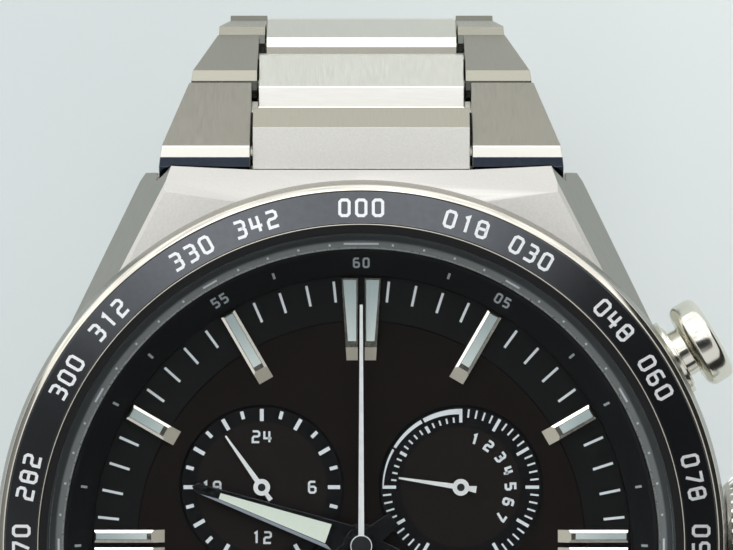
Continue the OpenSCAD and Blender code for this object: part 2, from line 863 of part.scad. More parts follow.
// Crown: a fluted knob round its tube, with a post that carries the stem
module crown() {
    teeth = [for (k = [0 : crown_flutes - 1], t = [0, 1, 2, 3])
        let (a = 360 * (k + [0, 0.3, 0.5, 0.8][t]) / crown_flutes,
            r = crown_d / 2 - (t < 2 ? 0 : 0.28))
        [r * cos(a), r * sin(a)]];
    color("#cfcfcc")
    at_head()
    translate([0, 0, stem_z])
    rotate([0, 90, 0])
    difference() {
        union() {
            intersection() {
                translate([0, 0, crown_x]) linear_extrude(height = crown_len) polygon(teeth);
                rotate_extrude($fn = 96)
                polygon([[0, crown_x], [crown_d / 2 - 0.5, crown_x], [crown_d / 2, crown_x + 0.5],
                    [crown_d / 2, crown_x + crown_len - 0.7],
                    [crown_d / 2 - 0.6, crown_x + crown_len], [0, crown_x + crown_len]]);
            }
            translate([0, 0, crown_post_x])
            cylinder(r = crown_post_r, h = crown_x - crown_post_x + 0.1, $fn = 48);
        }
        translate([0, 0, crown_x - past])
        difference() {
            cylinder(r = crown_tube_r + 0.15, h = crown_len / 2 - 0.2 + past, $fn = 48);
            cylinder(r = crown_post_r, h = crown_len + past, $fn = 48);
        }
        translate([0, 0, crown_post_x - past]) cylinder(r = crown_stem_r + hold, h = 3 + past, $fn = 32);
    }
}

module crown_stem() {
    groove_x = lever_x - 0.1;
    color("#9a9a98")
    at_head()
    translate([0, 0, stem_z])
    rotate([0, 90, 0])
    rotate_extrude($fn = 48)
    polygon([[0, stem_in_x], [crown_stem_r, stem_in_x], [crown_stem_r, groove_x], [0.3, groove_x],
        [0.3, groove_x + 0.6], [crown_stem_r, groove_x + 0.6], [crown_stem_r, crown_post_x + 2.9],
        [0, crown_post_x + 2.9]]);
}

// Forked lever in the stem's groove, which moves with the crown but doesn't turn
module setting_lever() {
    color("#8f8f8a")
    at_head()
    difference() {
        translate([lever_x, -1.7, plate_z0 + 0.05]) cube([0.4, 3.4, 1]);
        translate([0, 0, stem_z]) rotate([0, 90, 0]) cylinder(r = 0.36, h = 20, $fn = 32);
        translate([lever_x - past, -0.36, plate_z0 - past]) cube([4, 0.72, past + stem_z - plate_z0]);
    }
}

// Pusher: mushroom cap, stem and the clip that holds it in its tube
module pusher(a) {
    color("#d4d4d2")
    at_head()
    along_pusher(a) {
        rotate_extrude($fn = 64)
        polygon([[0, thin_stem_in], [thin_stem_r, thin_stem_in], [thin_stem_r, stem_end],
            [stem_d / 2, stem_end], [stem_d / 2, cap_in], [cap_d / 2 - 0.35, cap_in],
            [cap_d / 2, cap_in + 0.3], [cap_d / 2, cap_in + cap_t - 0.45],
            [cap_d / 2 - 0.12, cap_in + cap_t - 0.15], [cap_d / 2 - 0.45, cap_in + cap_t],
            [0, cap_in + cap_t]]);
        translate([0, 0, tube_in - 0.65])
        difference() {
            cylinder(r = clip_r, h = 0.25, $fn = 32);
            translate([0, 0, -past]) cylinder(r = thin_stem_r + hold, h = 3, $fn = 32);
            translate([0, -0.5, -past]) cube([3, 1, 3]);
        }
    }
}

module pusher_2() {
    pusher(push_angle);
}

module pusher_4() {
    pusher(-push_angle);
}

// Points of one round of the wire at angle a of the helix
function coil_ring(a, turns, z0, z1, r, wire) =
    let (z = z0 + (z1 - z0) * a / (360 * turns))
    [for (k = [0 : 5]) let (b = 60 * k)
        [(r + wire * cos(b)) * cos(a), (r + wire * cos(b)) * sin(a), z + wire * sin(b)]];

// Return springs between the floor of each tube and the thick part of the stem
module pusher_springs() {
    turns = 4;
    steps = 64;
    wire = 0.14;
    z0 = tube_floor + wire + 0.02;
    z1 = stem_end - wire - 0.02;
    points = [for (j = [0 : steps]) each coil_ring(360 * turns * j / steps, turns, z0, z1, 1.05, wire)];
    faces = [[0, 1, 2, 3, 4, 5], [for (k = [5 : -1 : 0]) steps * 6 + k],
        for (j = [0 : steps - 1], k = [0 : 5])
            let (a = j * 6 + k, b = j * 6 + (k + 1) % 6)
            each [[a, a + 6, b + 6], [a, b + 6, b]]];
    color("#8a8a86")
    at_head()
    for (a = [push_angle, -push_angle])
        along_pusher(a) polyhedron(points = points, faces = faces, convexity = 6);
}

// Hour hand: a tapered blade on a hub, along +Y before it is turned
module hour_hand() {
    hub = hour_tube_r + 0.35;
    color("#24262a")
    at_head()
    clock(hour_at)
    translate([0, 0, hour_hand_z])
    difference() {
        union() {
            cylinder(r = hub, h = hand_t);
            linear_extrude(height = hand_t)
            polygon([[-0.9, 1.2], [-0.28, hour_len - 0.3], [0, hour_len], [0.28, hour_len - 0.3],
                [0.9, 1.2], [0.5, -2.2], [-0.5, -2.2]]);
        }
        translate([0, 0, -past]) cylinder(r = hour_tube_r + hold, h = 3, $fn = 48);
    }
}

module minute_hand() {
    hub = minute_tube_r + 0.47;
    color("#24262a")
    at_head()
    clock(minute_at)
    translate([0, 0, minute_hand_z])
    difference() {
        union() {
            cylinder(r = hub, h = hand_t);
            linear_extrude(height = hand_t)
            polygon([[-0.75, 1], [-0.25, minute_len - 0.3], [0, minute_len],
                [0.25, minute_len - 0.3], [0.75, 1], [0.45, -2.4], [-0.45, -2.4]]);
        }
        translate([0, 0, -past]) cylinder(r = minute_tube_r + hold, h = 3, $fn = 48);
    }
}

// Chronograph seconds hand with its arbor and wheel
module chrono_hand() {
    t = 0.14;
    color("#c8ccd0")
    at_head() {
        translate([0, 0, chrono_hand_z]) {
            linear_extrude(height = t)
            polygon([[-0.17, 0], [-0.085, chrono_len], [0.085, chrono_len], [0.17, 0],
                [0.3, -3.9], [-0.3, -3.9]]);
            cylinder(r = 0.62, h = 0.3, $fn = 48);
        }
        translate([0, 0, bridge_z - 0.1])
        cylinder(r = chrono_arbor_r, h = chrono_hand_z - bridge_z + 0.2, $fn = 32);
        translate([0, 0, bridge_z + bridge_t + 0.05]) cylinder(r = chrono_wheel_r, h = 0.2);
    }
}

// A small hand with its arbor and wheel; tail is the half width of its counterweight
module small_hand(sub, at, tail) {
    color("#c9cdd0")
    at_head()
    rotate([0, 0, sub])
    translate([sub_at, 0, 0])
    rotate([0, 0, -sub])
    clock(at) {
        translate([0, 0, small_hand_z]) {
            linear_extrude(height = 0.1)
            polygon([[-0.15, 0.3], [-0.05, small_len], [0.05, small_len], [0.15, 0.3],
                [0.08, 0], [tail, -0.9], [-tail, -0.9], [-0.08, 0]]);
            cylinder(r = 0.48, h = 0.16, $fn = 32);
        }
        translate([0, 0, bridge_z]) cylinder(r = arbor_r, h = small_hand_z - bridge_z + 0.1, $fn = 24);
        translate([0, 0, plate_z0 - 1.05]) cylinder(r = small_wheel_r, h = 0.5, $fn = 72);
    }
}

module day_hand() {
    small_hand(sub_angles[0], day_at, 0.14);
}

module function_hand() {
    small_hand(sub_angles[1], function_at, 0.2);
}

module counter_hand() {
    small_hand(sub_angles[2], 0, 0.14);
}

// Outline of a toothed wheel
module gear_plan(r, teeth) {
    depth = 0.2;
    polygon([for (k = [0 : teeth - 1], t = [0 : 3])
        let (a = 360 * (k + [0, 0.2, 0.45, 0.75][t]) / teeth, q = r - (t < 2 ? 0 : depth))
        [q * cos(a), q * sin(a)]]);
}

module hour_wheel() {
    color("#c9a24e")
    at_head()
    difference() {
        union() {
            translate([0, 0, hour_wheel_z]) linear_extrude(height = 0.3) gear_plan(hour_wheel_r, 48);
            translate([0, 0, hour_wheel_z])
            cylinder(r = hour_tube_r, h = hour_hand_z + hand_t - hour_wheel_z, $fn = 48);
        }
        translate([0, 0, plate_z0]) cylinder(r = minute_tube_r + run, h = case_h, $fn = 48);
    }
}

module minute_wheel() {
    wheel_z = plate_z0 - 0.85;
    color("#c9a24e")
    at_head()
    difference() {
        union() {
            translate([0, 0, wheel_z]) linear_extrude(height = 0.4) gear_plan(minute_wheel_r, 40);
            translate([0, 0, wheel_z])
            cylinder(r = minute_tube_r, h = minute_hand_z + hand_t - wheel_z, $fn = 48);
        }
        cylinder(r = chrono_arbor_r + run, h = 2 * case_h, $fn = 48);
    }
}

// Hollow at the far end of the arms, seen from the side. The last one is drawn out along the way that the
// clasp's end takes out of it, when its bar is drawn and the bracelet bends.
module arm_hollow(last) {
    for (turn = last ? way_out : [0])
        rotate(-turn) translate([pitch, 0]) circle(r = arm_hollow_r);
}

// Side view of a link's two arms, along s from its own pin to the next
module arm_profile(last) {
    difference() {
        polygon(concat([[pitch - 0.5, -link_h], [pitch - 0.5, link_h]],
            [for (q = near_end) link_h * q]));
        arm_hollow(last);
    }
}

// Side view of the web that joins the arms to the tongue
module web_profile(last) {
    difference() {
        polygon([[2, -link_h], [pitch - 1, -link_h], [pitch - 1, 0.8], [2, 0.8]]);
        circle(r = tongue_hollow_r);
        arm_hollow(last);
    }
}

// Side view of the tongue; the last one before the clasp has a short round end
module tongue_profile(last) {
    near = [[2, -link_h], [2, 0.8], [tongue_hollow_r + 0.35, 0.8], [tongue_hollow_r + 1.2, link_h]];
    low_s = sqrt(tongue_r * tongue_r - link_h * link_h);
    far = last ? [[pitch, link_h], [pitch, -link_h]]
        : [[pitch + tongue_flat, link_h], [pitch + 2.85, 0.5], [pitch + low_s, -link_h]];
    difference() {
        union() {
            polygon(concat(near, far));
            if (last)
                translate([pitch, 0]) circle(r = link_h);
        }
        circle(r = tongue_hollow_r);
    }
}

// One link: two arms that straddle the tongue before it, its own tongue, and its pin
module link(i) {
    w0 = width_at(i);
    w1 = width_at(i + 1);
    arm_in = tongue_at(i - 1) + side;
    last = i == links - 1;
    difference() {
        intersection() {
            union() {
                across_pair(arm_in, w0 + 1) arm_profile(last);
                across(arm_in + 0.5) web_profile(last);
                across(tongue_at(i)) tongue_profile(last);
            }
            translate([0, 0, -5])
            linear_extrude(height = 10)
            polygon([[-w0, -arm_r], [w0, -arm_r], [w1, pitch - 1.4], [w1, pitch + 4],
                [-w1, pitch + 4], [-w1, pitch - 1.4]]);
        }
        bar(pin_r + hold, w0 + 1);
        translate([0, pitch, 0]) bar(pin_r + run, w0 + 1);
    }
    bar(pin_r, w0 - 0.3);
}

// Link i of the chain at 12 o'clock, hung in its place; m = 1 mirrors it to 6 o'clock
module placed_link(m, i) {
    color("#c6c4bd")
    mirror([0, m, 0])
    translate([0, pin_y(i), pin_z(i)])
    rotate([-lean(i), 0, 0])
    link(i);
}

// Bar in the last tongue at 12 o'clock, drawn in as it is when the cover is taken off
module spring_bar() {
    color("#a4a4a2")
    translate([0, clasp_y, bar_z])
    bar(pin_r, centre_end - side);
}

// Side view of the cover's thick ends round the bar at 12 o'clock
module cover_end_profile() {
    intersection() {
        union() {
            translate([clasp_y, bar_z]) circle(r = 2);
            polygon([[clasp_y - 2.2, 0], [clasp_y + 0.2, 0], [clasp_y + 1.4, 1.2],
                [clasp_y + 1.4, bar_z], [clasp_y - 2.2, cover_h]]);
        }
        translate([clasp_y - 2.2, 0]) square([5, 8]);
    }
}

// Side view of the cover's thin walls, round at the end where the blade is hinged
module cover_wall_profile() {
    translate([-fold_y, fold_z]) circle(r = 1.6);
    polygon([[-fold_y - 0.9, 0], [clasp_y - 2, 0], [clasp_y - 2, cover_h], [-fold_y + 2, cover_h],
        [-fold_y, fold_z + 1.6], [-fold_y - 0.9, fold_z]]);
}

module clasp_cover() {
    edge = 0.9;
    color("#c8c6bf")
    difference() {
        intersection() {
            union() {
                across(width_end)
                polygon([[-fold_y - 0.9, 0], [fork_y, 0], [fork_y, cover_t], [-fold_y - 0.9, cover_t]]);
                across_pair(cover_in, width_end) cover_wall_profile();
                across_pair(lug_in, width_end) cover_end_profile();
            }
            rotate([90, 0, 0])
            linear_extrude(height = 80, center = true)
            polygon([[-width_end, edge], [-width_end + edge, 0], [width_end - edge, 0],
                [width_end, edge], [width_end, 9], [-width_end, 9]]);
        }
        translate([0, clasp_y, bar_z]) bar(pin_r + hold, width_end - 0.5);
        translate([0, -fold_y, fold_z]) bar(blade_pin_r + hold, width_end + 1);
        translate([0, button_y, button_z])
        cube([3 * width_end, button_w + 0.2, button_h + 0.2], center = true);
    }
}

// Middle blade: hinged to the cover at one end and to the inner blade at the other
module clasp_middle_blade() {
    color("#bdbbb4") {
        difference() {
            union() {
                translate([-blade_w, -fold_y, middle_z])
                cube([2 * blade_w, fold_y + knuckle_y - knuckle_r - side, blade_t]);
                translate([-knuckle_w, 0, middle_z]) cube([2 * knuckle_w, knuckle_y, blade_t]);
                translate([0, -fold_y, fold_z]) bar(fold_r, cover_in - side);
                translate([0, knuckle_y, knuckle_z]) bar(knuckle_r, knuckle_w);
            }
            translate([0, -fold_y, fold_z]) bar(blade_pin_r + run, 9);
            translate([0, knuckle_y, knuckle_z]) bar(blade_pin_r + run, 9);
        }
        translate([0, -fold_y, fold_z]) bar(blade_pin_r, width_end - 0.2);
    }
}

// Side view of the inner blade's ears round the bar at 6 o'clock
module ear_profile() {
    translate([-clasp_y, bar_z]) circle(r = 1.6);
    polygon([[-clasp_y, bar_z - 1.6], [-clasp_y + 2.2, inner_z], [-clasp_y + 4.5, inner_z],
        [-clasp_y + 4.5, inner_z + blade_t], [-clasp_y + 2.2, inner_z + blade_t],
        [-clasp_y, bar_z + 1.6]]);
}

// Inner blade: carries the bar at 6 o'clock, and folds over the middle blade
module clasp_inner_blade() {
    color("#bdbbb4") {
        difference() {
            union() {
                translate([-blade_w, -clasp_y + 2.2, inner_z])
                cube([2 * blade_w, clasp_y - 2.2 + knuckle_y - knuckle_r - side, blade_t]);
                translate([-cover_in + side, -clasp_y + 2.2, inner_z])
                cube([2 * (cover_in - side), 2.3, blade_t]);
                across_pair(lug_in, cover_in - side) ear_profile();
                across_pair(lug_in, width_end)
                intersection() {
                    translate([-clasp_y, bar_z]) circle(r = arm_r);
                    translate([-clasp_y - 5, 0]) square([6, 9]);
                }
                across_pair(knuckle_w + side, blade_w) {
                    translate([knuckle_y, knuckle_z]) circle(r = knuckle_r);
                    translate([0, inner_z]) square([knuckle_y, blade_t]);
                }
            }
            translate([0, -clasp_y, bar_z]) bar(pin_r + hold, 9);
            translate([0, knuckle_y, knuckle_z]) bar(blade_pin_r + hold, 9);
        }
        translate([0, -clasp_y, bar_z]) bar(pin_r, width_end - 0.3);
        translate([0, knuckle_y, knuckle_z]) bar(blade_pin_r, blade_w - 0.1);
    }
}

// Push button through one wall of the cover, with the flange that keeps it in
module clasp_button(m) {
    flange = 0.3;
    color("#cfcdc6")
    mirror([m, 0, 0])
    translate([0, button_y, button_z]) {
        translate([cover_in - 0.1, -button_w / 2, -button_h / 2])
        cube([cover_wall + 0.1 + button_out, button_w, button_h]);
        translate([cover_in - 0.05 - flange, -button_w / 2 - 0.3, -button_h / 2 - 0.3])
        cube([flange, button_w + 0.6, button_h + 0.6]);
    }
}

module clasp_button_right() {
    clasp_button(0);
}

module clasp_button_left() {
    clasp_button(1);
}

case_middle();
bezel_ring();
bezel_insert();
crystal();
crystal_gasket();
scale_ring();
flange_ring();
dial_plate();
hour_markers();
marker_lume();
solar_cell();
date_ring();
movement_ring();
main_plate();
train_bridge();
circuit_board();
power_cell();
motor_coils();
antenna();
case_back();
case_back_gasket();
end_link_12();
end_link_6();
lug_pins();
crown_tube();
pusher_tubes();
tube_seals();
crown();
crown_stem();
setting_lever();
pusher_2();
pusher_4();
pusher_springs();
hour_hand();
minute_hand();
chrono_hand();
day_hand();
function_hand();
counter_hand();
hour_wheel();
minute_wheel();
placed_link(0, 0);  // link_12_1
placed_link(0, 1);  // link_12_2
placed_link(0, 2);  // link_12_3
placed_link(0, 3);  // link_12_4
placed_link(0, 4);  // link_12_5
placed_link(0, 5);  // link_12_6
union() {  // link_12_7
    placed_link(0, 6);
    spring_bar();
}
placed_link(1, 0);  // link_6_1
placed_link(1, 1);  // link_6_2
placed_link(1, 2);  // link_6_3
placed_link(1, 3);  // link_6_4
placed_link(1, 4);  // link_6_5
placed_link(1, 5);  // link_6_6
placed_link(1, 6);  // link_6_7
clasp_cover();
clasp_middle_blade();
clasp_inner_blade();
clasp_button_left();
clasp_button_right();
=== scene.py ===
"""Chronograph wristwatch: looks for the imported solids, seen from straight above the dial."""

import math

import bmesh
import bpy
import numpy as np
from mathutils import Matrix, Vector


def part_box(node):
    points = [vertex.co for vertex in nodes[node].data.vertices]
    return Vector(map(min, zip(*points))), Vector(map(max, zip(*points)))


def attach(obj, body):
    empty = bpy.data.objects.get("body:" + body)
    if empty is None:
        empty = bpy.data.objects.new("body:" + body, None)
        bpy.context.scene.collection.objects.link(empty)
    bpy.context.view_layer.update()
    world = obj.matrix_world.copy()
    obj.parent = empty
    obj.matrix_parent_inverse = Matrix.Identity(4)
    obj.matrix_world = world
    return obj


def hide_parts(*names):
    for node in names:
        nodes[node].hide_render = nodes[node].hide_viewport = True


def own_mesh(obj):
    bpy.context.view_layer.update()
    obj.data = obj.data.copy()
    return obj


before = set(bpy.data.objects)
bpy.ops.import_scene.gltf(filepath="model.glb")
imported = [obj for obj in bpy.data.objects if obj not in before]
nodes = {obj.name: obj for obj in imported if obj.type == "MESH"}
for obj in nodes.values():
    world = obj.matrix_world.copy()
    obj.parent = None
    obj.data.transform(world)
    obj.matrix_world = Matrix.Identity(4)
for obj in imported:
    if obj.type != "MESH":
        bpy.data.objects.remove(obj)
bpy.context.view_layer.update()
MM = 0.001

# Camera: it hangs over the 12 o'clock side and looks straight down the dial axis, so the bracelet is
# seen falling away. One millimetre on the bezel is 17.6 pixels of a picture 733 pixels wide.
PHOTO_WIDTH = 733
PX_PER_MM = 17.6
SENSOR = 36.0
CAMERA_RISE = 280 * MM
CAMERA_X = 0.3 * MM
CAMERA_Y = 15.5 * MM
NEAREST = 10 * MM
FARTHEST = 5
BEZEL_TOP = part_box("bezel_ring")[1].z


def new_object(name, data):
    """An object of a mesh, a lamp or a camera, linked into the scene."""
    made = bpy.data.objects.new(name, data)
    bpy.context.scene.collection.objects.link(made)
    return made


camera = new_object("camera", bpy.data.cameras.new("camera"))
camera.location = (CAMERA_X, CAMERA_Y, BEZEL_TOP + CAMERA_RISE)
camera.data.sensor_width = SENSOR
camera.data.lens = SENSOR * PX_PER_MM * (CAMERA_RISE / MM) / PHOTO_WIDTH
camera.data.clip_start = NEAREST
camera.data.clip_end = FARTHEST
bpy.context.scene.camera = camera

# Light: one bright window behind 12 o'clock that reaches from below the horizon almost to straight above,
# in a room that is bright halfway up and dark overhead, where the camera stands. A wide lamp behind the
# same side throws the soft shadow. A colour then renders about as it is written.
WINDOW_AZIMUTH = -9
WINDOW_TILT = 60
WINDOW_HALF = 53
WINDOW_SOFT = 2.5
WINDOW_LEVEL = 1.6
WINDOW_UNEVEN = (0.7, 1.3)
WINDOW_TINT = "#FAFCFF"
CLOUD_SCALE = 9.0
CLOUD_LIMITS = (0.35, 0.65)
# Brightness of the rest of the room by the upward part of a direction, first towards its brighter side and
# then on the opposite one, where it is dark near the horizon. The two blend across the middle of the room.
ROOM_NEAR = ((0.0, 0.35), (0.2, 0.25), (0.42, 0.35), (0.52, 1.05), (0.955, 1.05), (0.972, 0.1), (1.0, 0.05))
ROOM_FAR = ((0.0, 0.2), (0.15, 0.03), (0.48, 0.03), (0.58, 0.95), (0.88, 0.95), (0.93, 0.04), (1.0, 0.02))
ROOM_SIDE = (-1, 0.15, 0)
ROOM_BLEND = 0.6
LAMP_AT = (-60, 330, 300)
LAMP_AIM = (0, 0, 35)
LAMP_SIZE = (300, 200)
LAMP_WATTS = 0.4


def linear(code):
    """An sRGB hex code as linear RGBA: a channel up to 0.04045 is divided by 12.92. Above it, 0.055 is added
    to the channel, and the sum is divided by 1.055 and raised to the power 2.4."""
    channels = [int(code[i : i + 2], 16) / 255 for i in (1, 3, 5)]
    return [c / 12.92 if c <= 0.04045 else ((c + 0.055) / 1.055) ** 2.4 for c in channels] + [1.0]


def add(tree, kind, inputs=None, **props):
    """Adds a node, sets its properties, and sets or links its inputs by name or number."""
    made = tree.nodes.new(kind)
    for key, value in props.items():
        setattr(made, key, value)
    for key, value in (inputs or {}).items():
        if isinstance(value, bpy.types.NodeSocket):
            tree.links.new(value, made.inputs[key])
        else:
            made.inputs[key].default_value = value
    return made


bpy.context.scene.view_settings.view_transform = "Standard"
world = bpy.data.worlds.new("room")
world.use_nodes = True
bpy.context.scene.world = world
tree = world.node_tree
tree.nodes.clear()
way = add(tree, "ShaderNodeTexCoord").outputs["Generated"]
parts = add(tree, "ShaderNodeSeparateXYZ", {0: way})
room_levels = []
for stops in (ROOM_NEAR, ROOM_FAR):
    ramp = add(tree, "ShaderNodeValToRGB", {0: parts.outputs["Z"]})
    marks = ramp.color_ramp.elements
    for index, (place, level) in enumerate(stops):
        mark = marks[index] if index < 2 else marks.new(place)
        mark.position = place
        mark.color = (level, level, level, 1)
    room_levels.append(ramp.outputs[0])
across = add(tree, "ShaderNodeVectorMath", {0: way, 1: ROOM_SIDE}, operation="DOT_PRODUCT")
side = add(tree, "ShaderNodeMapRange",
           {0: across.outputs["Value"], 1: -ROOM_BLEND, 2: ROOM_BLEND, 3: 0.0, 4: 1.0},
           interpolation_type="SMOOTHSTEP")
plain_room = add(tree, "ShaderNodeMix", {0: side.outputs[0], 2: room_levels[1], 3: room_levels[0]})
azimuth, tilt = math.radians(WINDOW_AZIMUTH), math.radians(WINDOW_TILT)
middle = (math.sin(tilt) * math.sin(azimuth), math.sin(tilt) * math.cos(azimuth), math.cos(tilt))
nearness = add(tree, "ShaderNodeVectorMath", {0: way, 1: middle}, operation="DOT_PRODUCT")
outside, inside = (math.cos(math.radians(WINDOW_HALF + soft)) for soft in (WINDOW_SOFT, -WINDOW_SOFT))
window = add(tree, "ShaderNodeMapRange",
             {0: nearness.outputs["Value"], 1: outside, 2: inside, 3: 0.0, 4: 1.0},
             interpolation_type="SMOOTHSTEP")
clouds = add(tree, "ShaderNodeTexNoise", {"Vector": way, "Scale": CLOUD_SCALE, "Detail": 1.0})
uneven = add(tree, "ShaderNodeMapRange",
             {0: clouds.outputs[0], 1: CLOUD_LIMITS[0], 2: CLOUD_LIMITS[1],
              3: WINDOW_LEVEL * WINDOW_UNEVEN[0], 4: WINDOW_LEVEL * WINDOW_UNEVEN[1]})
level = add(tree, "ShaderNodeMix", {0: window.outputs[0], 2: plain_room.outputs[0], 3: uneven.outputs[0]})
room = add(tree, "ShaderNodeBackground", {"Color": linear(WINDOW_TINT), "Strength": level.outputs[0]})
add(tree, "ShaderNodeOutputWorld", {"Surface": room.outputs[0]})

lamp = bpy.data.lights.new("top_light", "AREA")
lamp.shape = "RECTANGLE"
lamp.size, lamp.size_y = LAMP_SIZE[0] * MM, LAMP_SIZE[1] * MM
lamp.energy = LAMP_WATTS
lamp_holder = new_object("top_light", lamp)
lamp_holder.location = np.array(LAMP_AT) * MM
beam = np.array(LAMP_AIM, float) - np.array(LAMP_AT, float)
beam_tilt = math.atan2(math.hypot(beam[0], beam[1]), -beam[2])
lamp_holder.rotation_euler = (beam_tilt, 0, math.atan2(-beam[0], beam[1]))

# Ground: a pale matt sheet under the clasp that keeps the shadow. Its colour is painted a little lighter to
# the right of the watch: painted light where the room is darker on that side.
# It is only a stage for the picture and no part of the watch.
GROUND_LEFT = "#D8DEDD"
GROUND_RIGHT = "#E6ECEA"
GROUND_TURN = (-5, 20)
GROUND_HALF = 2


def new_material(name, code, rough, metal=0.0, shine=None):
    """A Principled material with its colour, roughness and metallic value, and its reflection level where it
    isn't the usual one. Gives the material, its tree and its shader."""
    made = bpy.data.materials.new(name)
    made.use_nodes = True
    shader = made.node_tree.nodes["Principled BSDF"]
    shader.inputs["Base Color"].default_value = linear(code)
    shader.inputs["Roughness"].default_value = rough
    shader.inputs["Metallic"].default_value = metal
    if shine is not None:
        shader.inputs["Specular IOR Level"].default_value = shine
    return made, made.node_tree, shader


def mix(tree, factor, low, high):
    """Colour mix by a factor. low and high are hex codes or sockets."""
    ends = [linear(c) if isinstance(c, str) else c for c in (low, high)]
    return add(tree, "ShaderNodeMix", {"Factor": factor, 6: ends[0], 7: ends[1]}, data_type="RGBA").outputs[2]


floor_mesh = bpy.data.meshes.new("floor")
floor_corners = [(x * GROUND_HALF, y * GROUND_HALF, 0) for x, y in ((-1, -1), (1, -1), (1, 1), (-1, 1))]
floor_mesh.from_pydata(floor_corners, [], [(0, 1, 2, 3)])
floor = new_object("floor", floor_mesh)
floor_paint, tree, shader = new_material("floor_paint", GROUND_LEFT, 0.9)
floor_place = add(tree, "ShaderNodeTexCoord")
floor_x = add(tree, "ShaderNodeSeparateXYZ", {0: floor_place.outputs["Object"]})
# The lighter colour to the right is painted light.
rightward = add(tree, "ShaderNodeMapRange",
                {0: floor_x.outputs["X"], 1: GROUND_TURN[0] * MM, 2: GROUND_TURN[1] * MM})
tree.links.new(mix(tree, rightward.outputs[0], GROUND_LEFT, GROUND_RIGHT), shader.inputs["Base Color"])
floor_mesh.materials.append(floor_paint)

# Case middle: one block of stainless steel, milled to a round body with four straight corners, blasted with
# beads on its shelf and brushed on a belt at the flanks that slope away outside the ridges. The back closes
# it from below, and steel bars hold the end pieces of the bracelet.
CASE_EDGE = 0.06
# Least upward parts of a normal that tell the shelf, the bevel round it and the flanks
FLAT_UP, FACET_UP, FLANK_UP = 0.999, 0.85, 0.35
NOISE_LIMITS = (0.3, 0.7)
GRAIN_DEPTH = 0.02
GRAIN_DETAIL = 3.0
JOINED_WITHIN = 0.0005
CUT_WITHIN = 0.0001
# Angles in degrees: up to which faces count as one, from which an edge is rounded, and from which the edges
# of a copy, a turned piece, a CAD node and a wire stay sharp
FLAT_ANGLE = 0.6
ROUND_ANGLE = 20
COPY_SHARP, TURNED_SHARP, NODE_SHARP, WIRE_SHARP = 10, 25, 30, 40


def grain(tree, shader, spacing, stretch=(1, 1, 1), bump=0.1, roughs=None, tints=None):
    """Noise of a spacing in mm on Object coordinates, drawn out by stretch. It drives a bump, and where given
    the roughness between two values and the colour between two codes."""
    place = add(tree, "ShaderNodeTexCoord")
    scale = [1 / (spacing * MM * s) for s in stretch]
    mapped = add(tree, "ShaderNodeMapping", {"Vector": place.outputs["Object"], "Scale": scale})
    noise = add(tree, "ShaderNodeTexNoise",
                {"Vector": mapped.outputs[0], "Scale": 1.0, "Detail": GRAIN_DETAIL})
    raised = add(tree, "ShaderNodeBump",
                 {"Height": noise.outputs[0], "Strength": bump, "Distance": GRAIN_DEPTH * MM})
    tree.links.new(raised.outputs[0], shader.inputs["Normal"])
    if roughs:
        low, high = NOISE_LIMITS
        spread = add(tree, "ShaderNodeMapRange",
                     {0: noise.outputs[0], 1: low, 2: high, 3: roughs[0], 4: roughs[1]})
        tree.links.new(spread.outputs[0], shader.inputs["Roughness"])
    if tints:
        tree.links.new(mix(tree, noise.outputs[0], *tints), shader.inputs["Base Color"])


def finish(name, code, rough, metal, spacing, shine=None, **marks):
    """A material with a grain of a spacing in mm. marks are the grain's other settings."""
    made, tree, shader = new_material(name, code, rough, metal, shine)
    grain(tree, shader, spacing, **marks)
    return made


def smooth_by_angle(mesh, degrees):
    """Smooth shading, with the edges sharper than the angle kept sharp."""
    mesh.shade_smooth()
    mesh.set_sharp_from_angle(angle=math.radians(degrees))


def fitted(piece, body, node=None):
    """Lets a piece ride on a body and, where it stands for a CAD node, replaces that."""
    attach(piece, body)
    if node:
        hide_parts(node)
    return piece


def paint(material, *names):
    """Gives CAD nodes a material as they are, smooth where their faces meet gently."""
    for name in names:
        mesh = nodes[name].data
        mesh.materials.clear()
        mesh.materials.append(material)
        smooth_by_angle(mesh, NODE_SHARP)


def bare_mesh(node, join):
    """A CAD node's mesh with its doubled corners merged. join makes whole faces of its flat triangles."""
    form = bmesh.new()
    form.from_mesh(nodes[node].data)
    bmesh.ops.remove_doubles(form, verts=form.verts, dist=JOINED_WITHIN * MM)
    if join:
        bmesh.ops.dissolve_limit(form, angle_limit=math.radians(FLAT_ANGLE), verts=form.verts,
                                 edges=form.edges)
    return form


def dressed(node, body, materials, choose=None, edge=0.08, segments=2, split=None):
    """A copy of a CAD node with softly rounded edges, which replaces the node. choose gives each face's
    material number from its middle in millimetres and its normal, as arrays. With no edge the copy keeps its
    triangles. split is a plane, as a point and a normal, that divides the faces first."""
    form = bare_mesh(node, edge > 0)
    if split:
        bmesh.ops.bisect_plane(form, geom=form.verts[:] + form.edges[:] + form.faces[:],
                               dist=CUT_WITHIN * MM, plane_co=split[0] * MM, plane_no=split[1])
    mesh = bpy.data.meshes.new(node + "_skin")
    form.to_mesh(mesh)
    form.free()
    count = len(mesh.polygons)
    middles = np.zeros(count * 3)
    normals = np.zeros(count * 3)
    mesh.polygons.foreach_get("center", middles)
    mesh.polygons.foreach_get("normal", normals)
    pick = choose(middles.reshape(-1, 3) / MM, normals.reshape(-1, 3)) if choose else np.zeros(count)
    mesh.polygons.foreach_set("material_index", np.asarray(pick, np.int32))
    for material in materials:
        mesh.materials.append(material)
    piece = new_object(node + "_skin", mesh)
    if edge:
        bevel = piece.modifiers.new("edges", "BEVEL")
        bevel.width = edge * MM
        bevel.segments = segments
        bevel.limit_method = "ANGLE"
        bevel.angle_limit = math.radians(ROUND_ANGLE)
        bevel.harden_normals = True
        bevel.use_clamp_overlap = True
    smooth_by_angle(mesh, COPY_SHARP)
    return fitted(piece, body, node)


